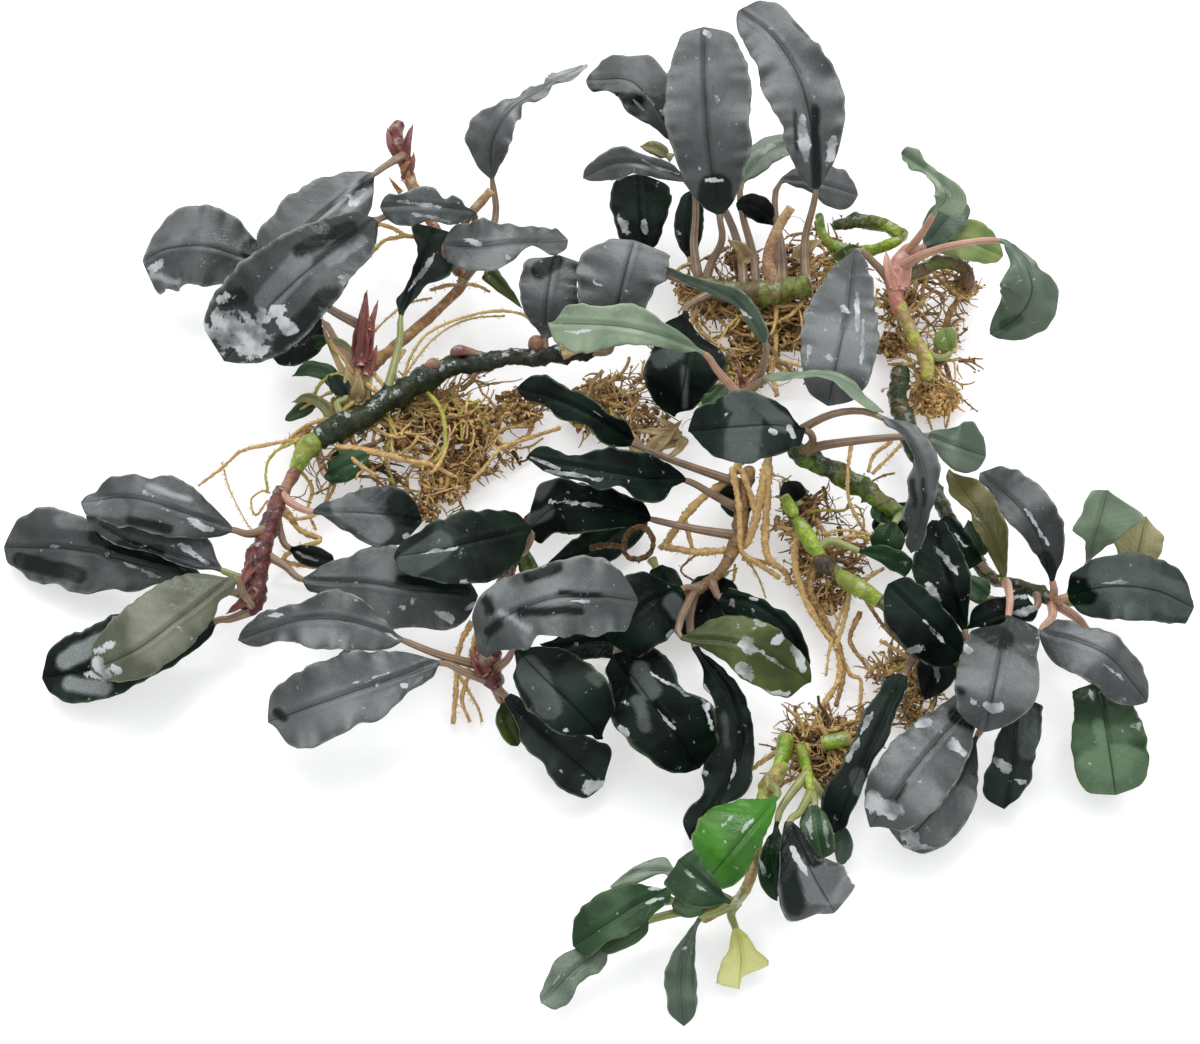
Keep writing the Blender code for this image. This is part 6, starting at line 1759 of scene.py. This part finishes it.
def strands(name, roots):
    """One mesh of many thin tubes, each as places in mm, first and last radius, and shade."""
    points, faces, tones, start = [], [], [], 0
    for places, thick, thin, shade in roots:
        sides = 8 if thick > 0.3 and thin > 0.15 else 5 if thick > 0.14 else 4
        turn, step = np.linspace(0, 2 * math.pi, sides, endpoint=False), np.arange(sides)
        along = unit(np.gradient(places, axis=0))
        side = unit(np.cross(along, [0.13, 0.05, 1.0]))
        up = np.cross(side, along)
        count = len(places)
        drawn = np.random.default_rng(int(abs(places[0] @ [37.0, 91.0, 13.0])) + count)
        beat = 1 + 0.10 * np.sin(np.arange(count) * 0.47 + places[0, 0])
        radius = SLIMMER * (np.linspace(thick, thin, count) * beat)[:, None]
        radius = radius * drawn.uniform(*ROUGHNESS, (count, sides))
        outward = side[:, None] * np.cos(turn)[:, None] + up[:, None] * np.sin(turn)[:, None]
        rings = places[:, None] + outward * radius[..., None]
        rings[..., 2] = np.maximum(rings[..., 2], NEAR_TABLE)
        points.append(rings.reshape(-1, 3))
        here = np.arange(count - 1)[:, None] * sides + start + step
        after = here + (step + 1) % sides - step
        quads = np.stack([here, after, after + sides, here + sides], axis=-1)
        faces += quads.reshape(-1, 4).tolist()
        faces += [(start + step[::-1]).tolist(), (start + (count - 1) * sides + step).tolist()]
        tones.append(np.tile([*shade, 1.0], (count * sides, 1)))
        start += count * sides
    return bundle(name, np.vstack(points), faces, np.vstack(tones), ROOTS)


def fuzz(roots, seed):
    """Short hairs that stand off roots on all sides."""
    drawn = random.Random(seed)
    hairs = []
    for places, thick, _, shade in roots:
        for place in places[1:-1]:
            way = unit(np.array([drawn.gauss(0, 1) for _ in range(3)]))
            tip = place + way * (0.8 * thick + drawn.uniform(*HAIR_LENGTH))
            bent = 0.5 * (place + tip) + 0.12 * np.array([drawn.gauss(0, 1) for _ in range(3)])
            if drawn.random() < HAIRS_KEPT:
                hairs.append((np.array([place, bent, tip]), *HAIR_RADII, shade))
    return hairs


print("a root by hand has a ring every", ROOT_RING_EVERY, "mm")

# %% [markdown]
# The felt is grown by a walk: each root starts in the mat's outline or at one of its crowns,
# runs out fairly straight, throws side roots, and sinks to the table. A seed fixes the draws, so
# the mat is the same on every run.

# %% Growing the felt
STEP = 0.7
FINE_ROOT, FELT_ROOT = (0.10, 0.18), (0.22, 0.54)
FROM_CROWNS, FINE_SHARE = 0.5, 0.5
GREEN_SHARE, DARK_SHARE = 0.06, 0.12
LONG_ROOT, SIDE_ROOT = (8, 24), (4, 12)


def inside(outline, x, y):
    """Whether a place lies within an outline, counted by crossings."""
    odd = False
    for (x0, y0), (x1, y1) in zip(outline, np.roll(outline, -1, axis=0)):
        if (y0 > y) != (y1 > y) and x < x0 + (y - y0) / (y1 - y0) * (x1 - x0):
            odd = not odd
    return odd


def walk(drawn, x, y, up, heading, steps, thick, height, outline):
    """The places of one root from a start, as it wanders within an outline."""
    bend, climb, places = drawn.gauss(0, 0.05), drawn.gauss(-0.05, 0.10), []
    for _ in range(steps):
        places.append((x, y, up))
        heading += bend + drawn.gauss(0, 0.22)
        x, y = x + STEP * math.cos(heading), y + STEP * math.sin(heading)
        climb = 0.9 * climb + drawn.gauss(-0.008, 0.06)
        up = min(max(up + STEP * climb, thick + 0.05), height)
        if len(places) > 4 and not inside(outline, x, y):
            break
    return np.array(places)


def felt(outline, height, count, seed, crowns):
    """Many wandering roots within an outline given in the view's pixels on the table."""
    drawn = random.Random(seed)
    edge = np.array([spot(across, down, 0)[:2] for across, down in outline])
    low, high = edge.min(axis=0), edge.max(axis=0)
    roots = []
    while len(roots) < count:
        heading = drawn.uniform(0, 2 * math.pi)
        if drawn.random() < FROM_CROWNS:
            x, y, up = spot(*drawn.choice(crowns)) + [drawn.gauss(0, 1.5), drawn.gauss(0, 1.5), 0]
        else:
            x, y = drawn.uniform(low[0], high[0]), drawn.uniform(low[1], high[1])
            up = drawn.uniform(0.4, height)
            if not inside(edge, x, y):
                continue
        fine = drawn.random() < FINE_SHARE
        thick = drawn.uniform(*FINE_ROOT) if fine else drawn.uniform(*FELT_ROOT)
        light = min(max(drawn.gauss(0.55, 0.25), 0), 1)
        green, dark = drawn.random() < GREEN_SHARE, drawn.random() < DARK_SHARE
        shade = (light, 0.5 * green, 0.7 * dark)
        places = walk(drawn, x, y, up, heading, drawn.randint(*LONG_ROOT), thick, height, edge)
        roots.append((places, thick, 0.5 * thick, shade))
        for _ in range(0 if fine else drawn.randint(1, 3)):
            fork = drawn.randint(1, len(places) - 2)
            turn = heading + drawn.choice((-1, 1)) * drawn.uniform(0.5, 1.1)
            steps = drawn.randint(*SIDE_ROOT)
            side = walk(drawn, *places[fork], turn, steps, 0.4 * thick, height, edge)
            roots.append((side, 0.55 * thick, 0.3 * thick, shade))
    return roots


print("a felt root takes a step every", STEP, "mm")

# %% [markdown]
# Crumbs of old root and soil sit in clods between the roots. Each clod is given by its middle
# in the view, its height and its reach, and how dark it is.

# %% Crumbs and curls
CRUMBS_MORE = 5
CRUMBS_A_CURL = 3
CURL_STEPS = 5
CURL_STEP = 0.45
SQUASH = 0.8
SMALL_CRUMB, LARGE_CRUMB, SMALL_SHARE = (0.15, 0.44), (0.44, 0.85), 0.92
CRUMB_ON_ROOT = (0.12, 0.32)


def ball():
    """The points and faces of a small round ball."""
    made = bmesh.new()
    bmesh.ops.create_icosphere(made, subdivisions=1, radius=1.0)
    points = np.array([v.co[:] for v in made.verts])
    faces = np.array([[v.index for v in face.verts] for face in made.faces])
    made.free()
    return points, faces


BALL_POINTS, BALL_FACES = ball()


def in_clod(drawn, across, down, reach):
    """A drawn place in a clod, in pixels, and how far it is from the clod's middle."""
    far, turn = reach * drawn.random() ** 0.6, drawn.uniform(0, 2 * math.pi)
    return across + far * math.cos(turn), down + SQUASH * far * math.sin(turn), far


def crumbs(name, clods, roots, seed):
    """One mesh of dented crumbs, in clods and on roots.

    A clod is a place across, down and up, then its reach in pixels, its count and its shade."""
    drawn = random.Random(seed)
    crumb_rows = []
    for across, down, height, reach, count, shade in clods:
        for _ in range(CRUMBS_MORE * count):
            x, y, far = in_clod(drawn, across, down, reach)
            up = drawn.uniform(0.3, 1.0) * height * (1 - 0.5 * (far / reach) ** 2)
            size = drawn.uniform(*(SMALL_CRUMB if drawn.random() < SMALL_SHARE else LARGE_CRUMB))
            crumb_rows.append((spot(x, y, up), size, shade))
    for _ in roots:
        course, thick, _, shade = drawn.choice(roots)
        place = drawn.choice(course) + drawn.gauss(0, 0.8 * thick)
        crumb_rows.append((place, drawn.uniform(*CRUMB_ON_ROOT), shade[0]))
    points, faces, tones = [], [], []
    for at, size, shade in crumb_rows:
        grid = BALL_POINTS * size * np.array([drawn.uniform(0.6, 1.3) for _ in range(3)])
        dent = np.array([noise.noise(Vector((point + at) * (0.9 / size))) for point in grid])
        grid = grid * (1 + 0.75 * dent)[:, None] + at
        grid[:, 2] = np.maximum(grid[:, 2], NEAR_TABLE)
        faces.append(BALL_FACES + len(points) * len(BALL_POINTS))
        points.append(grid)
        light = min(max(shade + drawn.gauss(0.05, 0.30), 0), 1)
        tone = [light, 0.3 * (drawn.random() < 0.05), 0.0, 1.0]
        tones.append(np.tile(tone, (len(grid), 1)))
    return bundle(name, np.vstack(points), np.vstack(faces).tolist(), np.vstack(tones), CRUMBS)


def curls(clods, seed):
    """Short curled rootlets that stand in tufts on the clods, as roots for `strands`."""
    drawn = random.Random(seed)
    rows = []
    for across, down, height, reach, count, shade in clods:
        for _ in range(count // CRUMBS_A_CURL):
            x, y, _ = in_clod(drawn, across, down, reach)
            places = [spot(x, y, drawn.uniform(0.5, 1.0) * height)]
            heading, climb = drawn.uniform(0, 2 * math.pi), drawn.uniform(-0.3, 0.8)
            bend = drawn.choice((-1, 1)) * drawn.uniform(0.3, 0.8)
            for _ in range(CURL_STEPS):
                heading, climb = heading + bend, climb - 0.3
                way = np.array([math.cos(heading), math.sin(heading), climb])
                places.append(places[-1] + CURL_STEP * way)
            tone = (min(shade + drawn.uniform(0, 0.55), 1), 0.25 * (drawn.random() < 0.2), 0)
            rows.append((np.array(places), drawn.uniform(0.2, 0.36), 0.1, tone))
    return rows


print("points of a crumb:", len(BALL_POINTS))

# %% [markdown]
# The main roots are placed one by one, where they show between the leaves. A root is a line of
# text: its shade, its first and last radius in millimetres, and its course.

# %% Main roots
SHADES = {"gold": (0.85, 0, 0), "brown": (0.35, 0, 0), "pale": (1.0, 0.15, 0),
          "lime": (0.8, 0.75, 0), "dark": (0.15, 0, 0.5)}


def roots_by_hand(text):
    """The roots of a text with a semicolon between two roots, as roots for `strands`."""
    roots = []
    for row in text.split(";"):
        words, course = row.split(":")
        shade, thick, thin = words.split()
        course = smooth_course([spot(*place) for place in rows_of(course)])
        total = lengths_along(course)[-1]
        where = np.linspace(0, total, max(4, round(total / ROOT_RING_EVERY)))
        roots.append((at_lengths(course, where), float(thick), float(thin), SHADES[shade]))
    return roots


MAIN_ROOTS = {
    "root_mat_left": """
gold 0.28 0.42: 198 486 1, 222 468 2, 240 452 3.5, 262 446 6, 290 441 7.5, 306 440 8;
pale 0.16 0.1: 222 462 1, 230 490 0.6, 245 520 0.5, 252 531 0.5;
lime 0.3 0.25: 300 440 8, 275 452 7, 266 470 6, 268 492 5;
gold 0.25 0.2: 268 500 5, 256 515 4, 251 500 4, 262 491 5, 270 493 5;
gold 0.6 0.42: 336 446 8.5, 370 451 8.5, 405 460 8, 432 465 7.5, 452 476 6;
lime 0.42 0.36: 424 388 10, 440 408 10, 445 430 9.5, 444 450 8.5, 434 463 7.8;
pale 0.28 0.32: 402 382 9, 412 354 10, 430 332 11, 465 317 12, 500 311 12, 527 317 11,
  545 338 10.5;
pale 0.22 0.2: 396 392 9, 414 362 9.5, 438 335 10.5, 470 319 11, 505 316 11;
gold 0.45 0.4: 372 222 13, 392 228 12.5, 408 236 12, 424 236 11.5;
pale 0.35 0.4: 362 262 8, 374 250 10, 386 240 11, 404 236 12;
gold 0.4 0.35: 560 428 6, 520 441 7, 500 449 7, 484 468 6, 470 482 5;
lime 0.3 0.3: 480 400 8, 462 410 8, 462 440 7;
gold 0.4 0.3: 430 290 8, 452 285 9, 475 285 9, 490 292 8;
pale 0.25 0.2: 372 334 9, 390 316 10, 410 303 10, 432 298 9;
gold 0.35 0.3: 404 398 9, 396 420 8, 392 445 7.5, 396 462 6.5;
brown 0.35 0.25: 350 428 9, 356 446 8, 372 466 6, 378 486 4;
gold 0.3 0.25: 470 392 9, 466 412 8, 474 432 7, 470 452 6;
gold 0.6 0.45: 284 508 4, 300 530 3.5, 320 540 3, 290 552 3, 285 562 3, 310 566 3, 336 566 3;
gold 0.45 0.3: 276 505 6, 290 518 5, 312 516 4, 330 505 3;
pale 0.35 0.25: 300 470 6, 312 488 4, 308 510 3, 316 530 2;
gold 0.3 0.25: 322 462 6, 330 480 5, 326 502 3.5""",
    "root_mat_middle": """
gold 0.8 0.65: 740 462 8, 728 480 8, 700 500 7.5, 682 520 7, 668 540 6, 660 549 5;
gold 0.85 0.6: 768 458 9, 763 480 9.4, 759 505 9.4, 752 530 9, 742 546 8, 702 552 6.5,
  664 547 5.5;
gold 0.6 0.5: 742 470 9.2, 752 500 9.6, 757 522 9.2;
gold 0.85 0.6: 768 462 9, 767 500 9, 765 540 8.6, 770 560 7.5, 785 572 5.5, 790 585 4.5;
gold 0.6 0.5: 732 468 9.4, 738 500 9.8, 740 530 9.6, 742 552 8.6, 762 566 7, 780 578 5.5;
gold 0.45 0.4: 684 512 7, 688 532 6.5, 692 548 6;
gold 0.5 0.45: 742 558 6, 760 562 5.5, 776 564 5.5;
brown 0.25 0.15: 700 551 5, 681 570 3, 700 582 2, 722 574 2, 738 568 2;
gold 0.28 0.2: 735 564 4, 734 578 2.5, 729 592 1.5;
pale 0.25 0.15: 745 558 5, 757 575 3, 766 598 1.5;
gold 0.38 0.3: 852 442 13, 848 470 12.6, 849 500 11, 858 520 9, 868 536 7;
gold 0.38 0.35: 892 441 13, 874 455 11, 868 472 10;
gold 0.32 0.3: 902 444 13, 886 460 11, 872 474 10;
brown 0.2 0.25: 895 473 8, 882 476 8, 868 484 8;
gold 0.35 0.3: 822 545 9, 850 536 8.5, 876 541 8;
pale 0.3 0.25: 822 534 9, 846 530 9, 872 536 8;
gold 0.4 0.3: 884 568 7, 868 578 6.5, 856 590 6""",
    "root_mat_front": """
gold 0.7 0.45: 798 528 9, 795 562 7.6, 805 598 6.4, 822 628 5, 838 652 4.5, 838 680 4,
  823 706 3.5, 812 730 4;
brown 0.65 0.45: 820 556 8, 810 588 7, 824 618 6, 838 645 5, 843 675 4, 836 706 4;
gold 0.5 0.4: 850 590 7, 844 620 6, 835 650 5;
brown 0.5 0.3: 860 612 6, 850 640 5, 862 660 4, 876 680 3;
gold 0.4 0.3: 838 645 4, 850 674 3, 861 682 2.5, 858 722 3;
pale 0.25 0.2: 822 704 3, 806 720 2, 800 732 3;
gold 0.25 0.2: 826 700 3, 832 718 2, 833 736 3;
brown 0.4 0.3: 866 600 6, 885 628 5, 905 648 4, 916 664 3;
gold 0.5 0.3: 776 752 5, 756 766 4, 742 776 3;
pale 0.3 0.25: 846 600 6, 838 622 5.5, 830 648 5, 826 676 4;
brown 0.4 0.3: 770 800 4, 782 784 5, 800 776 6""",
    "root_mat_lower_right": """
gold 0.4 0.3: 880 640 6, 905 656 5, 916 668 4, 905 682 3;
lime 0.2 0.16: 918 662 5, 935 684 4, 946 698 4""",
    "root_mat_back": """
gold 0.5 0.4: 690 300 7, 700 330 7.5, 726 350 7;
gold 0.55 0.4: 770 300 8, 776 340 8, 772 372 7, 778 396 6;
brown 0.3 0.2: 640 396 3, 612 404 2, 590 416 2;
gold 0.4 0.35: 700 262 9, 680 268 9, 672 284 8;
brown 0.5 0.4: 840 268 9, 858 282 8, 866 300 7;
gold 0.4 0.3: 804 300 9, 812 320 8, 808 344 7""",
    "root_mat_right": """
brown 0.55 0.4: 966 290 8, 950 312 7, 942 345 5, 950 380 4;
brown 0.35 0.15: 930 380 6, 932 400 5, 950 392 3, 978 412 1;
pale 0.34 0.35: 902 366 7, 925 360 8, 952 352 7, 957 338 6;
gold 0.35 0.2: 930 366 7, 934 388 5, 928 412 3, 932 430 1;
gold 0.35 0.2: 934 366 7, 946 386 5, 950 408 3, 946 428 1;
gold 0.3 0.2: 926 368 7, 920 390 5, 914 410 3, 916 426 1""",
}
MAIN_ROOTS = {mat: roots_by_hand(text) for mat, text in MAIN_ROOTS.items()}
print("main roots:", sum(len(roots) for roots in MAIN_ROOTS.values()))

# %% [markdown]
# A mat has a height in millimetres, a count of felt roots, a seed, an outline on the table and
# the crowns that half of its roots start from.

# %% Root mats
MATS = {
    "root_mat_left": (9.0, 360, 11, """
290 486, 318 452, 370 437, 405 405, 440 385, 490 380, 540 378, 562 402, 552 437, 520 460,
505 480, 470 515, 430 520, 400 500, 345 516, 300 560, 280 540""", """
380 420 8, 420 400 8, 450 400 8, 350 440 8, 440 470 5, 480 430 6"""),
    "root_mat_back": (10.0, 500, 23, """
680 300, 705 270, 745 255, 790 245, 830 250, 862 280, 860 312, 842 352, 812 392, 770 420,
705 436, 640 446, 590 440, 566 420, 592 398, 650 372, 678 346""", """
720 296 10, 760 300 10, 800 290 10, 760 340 7, 840 260 8, 700 310 8, 620 400 5, 596 408 5"""),
    "root_mat_middle": (7.0, 210, 31, """
760 492, 792 482, 832 500, 870 530, 868 580, 852 612, 812 622, 790 606, 786 570, 778 530""", """
800 520 7, 820 560 7, 838 580 6"""),
    "root_mat_right": (8.0, 230, 47, """
884 292, 915 276, 960 268, 975 300, 962 340, 958 372, 962 410, 942 434, 912 430, 900 400,
878 372""", """
900 300 8, 930 366 6, 934 370 6, 960 290 8"""),
    "root_mat_lower_right": (4.5, 130, 53, """
868 664, 904 650, 940 680, 946 720, 912 752, 893 732, 882 700""", """
900 680 4"""),
    "root_mat_front": (6.5, 160, 61, """
768 752, 786 722, 822 712, 860 716, 872 744, 852 782, 806 800, 776 784""", """
800 740 6, 830 740 6, 850 740 6"""),
}
CLODS = {
    "root_mat_left": """
440 415 8.5 30 130 0.35, 475 425 8 26 110 0.3, 405 432 8 24 70 0.5, 445 482 6 26 90 0.7,
352 402 8.5 22 70 0.8, 470 462 6 20 60 0.25, 520 408 7 24 60 0.4, 310 440 7 16 30 0.8,
425 510 4 16 30 0.35""",
    "root_mat_back": """
720 300 9 24 90 0.45, 760 330 8 34 150 0.6, 800 330 8 28 90 0.45, 745 370 6 26 80 0.5,
845 262 9 22 60 0.25, 795 262 10 22 60 0.2, 742 258 11 16 40 0.15, 596 408 6 32 120 0.3,
690 290 8 16 40 0.6, 650 425 5 22 40 0.5""",
    "root_mat_middle": """
800 505 7 20 50 0.15, 815 560 7 20 50 0.25, 826 600 6 18 40 0.3""",
    "root_mat_right": """
900 300 9 18 60 0.2, 893 345 7 16 50 0.2, 934 398 6 24 130 1.0, 965 285 8 12 25 0.2""",
    "root_mat_lower_right": """
905 690 4 24 60 0.7, 918 720 4 16 30 0.6""",
    "root_mat_front": """
800 742 6 22 70 0.15, 836 738 6 26 90 0.25, 820 770 5 24 60 0.15""",
}
for mat, (height, count, seed, outline, crowns) in MATS.items():
    clods = rows_of(CLODS[mat])
    roots = MAIN_ROOTS[mat] + felt(rows_of(outline), height, count, seed, rows_of(crowns))
    piece = strands(mat + "_strands", roots + fuzz(MAIN_ROOTS[mat], seed) + curls(clods, seed))
    stands_for(piece, mat)
    stands_for(crumbs(mat + "_crumbs", clods, roots, seed), mat)

# %% [markdown]
# A few golden roots leave the left stems on their own. They are too thin for the plain model,
# so they have no solid, and they start at the stem that they grow from.

# %% Free roots
FREE_ROOTS = roots_by_hand("""
gold 0.55 0.4: 472 622 8, 462 640 7, 457 660 6, 456 690 4, 453 724 1;
gold 0.5 0.3: 478 628 8, 472 650 6.5, 468 676 5, 462 700 3, 470 722 1;
pale 0.35 0.2: 457 672 5, 468 690 3.5, 478 708 1.5, 482 722 0.6;
brown 0.6 0.5: 484 632 7.5, 476 646 6.5, 472 662 5.5;
pale 0.5 0.35: 358 380 10, 345 360 11, 334 348 12, 330 340 12;
lime 0.4 0.25: 355 384 10, 336 374 10, 320 384 9, 312 398 7, 296 402 5;
gold 0.4 0.22: 354 394 9, 332 392 9, 310 404 7.5, 288 416 5;
pale 0.4 0.25: 354 402 9, 340 412 9, 322 420 8.5, 302 428 6, 282 446 3;
gold 0.45 0.3: 346 430 9, 342 446 7, 332 462 5, 334 486 3, 322 508 1.5;
pale 0.45 0.4: 372 372 10, 386 390 10, 380 404 9.5;
gold 0.5 0.4: 366 384 10, 378 394 10, 372 404 9.5;
pale 0.4 0.35: 404 350 9.5, 394 370 10, 400 388 10;
lime 0.42 0.3: 386 410 9, 392 430 8, 386 456 6, 394 484 4;
dark 0.5 0.5: 640 560 7.5, 627 556 7.5, 624 542 8.5, 632 529 10, 645 528 10.5, 653 540 9.5,
  650 553 8, 638 560 7.5;
dark 0.6 0.5: 590 548 6, 608 545 7, 626 548 8""")
FREE_ROOTS_SEED = 71
free_roots = strands("free_roots", FREE_ROOTS + fuzz(FREE_ROOTS, FREE_ROOTS_SEED))
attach(free_roots, "root")

# %% [markdown]
# ## Counting the pieces
# The dressed pieces are counted, with their triangles and the most that one piece has. The
# dressed clump has to stay within the plain model's box, apart from a small allowance.

# %% Pieces and triangles
pieces = [thing for thing in bpy.context.scene.objects
          if thing.type == "MESH" and thing.data.attributes.get("tone")]
triangles = [sum(len(face.vertices) - 2 for face in thing.data.polygons) for thing in pieces]
print("pieces:", len(pieces), "triangles:", sum(triangles), "most in one:", max(triangles))
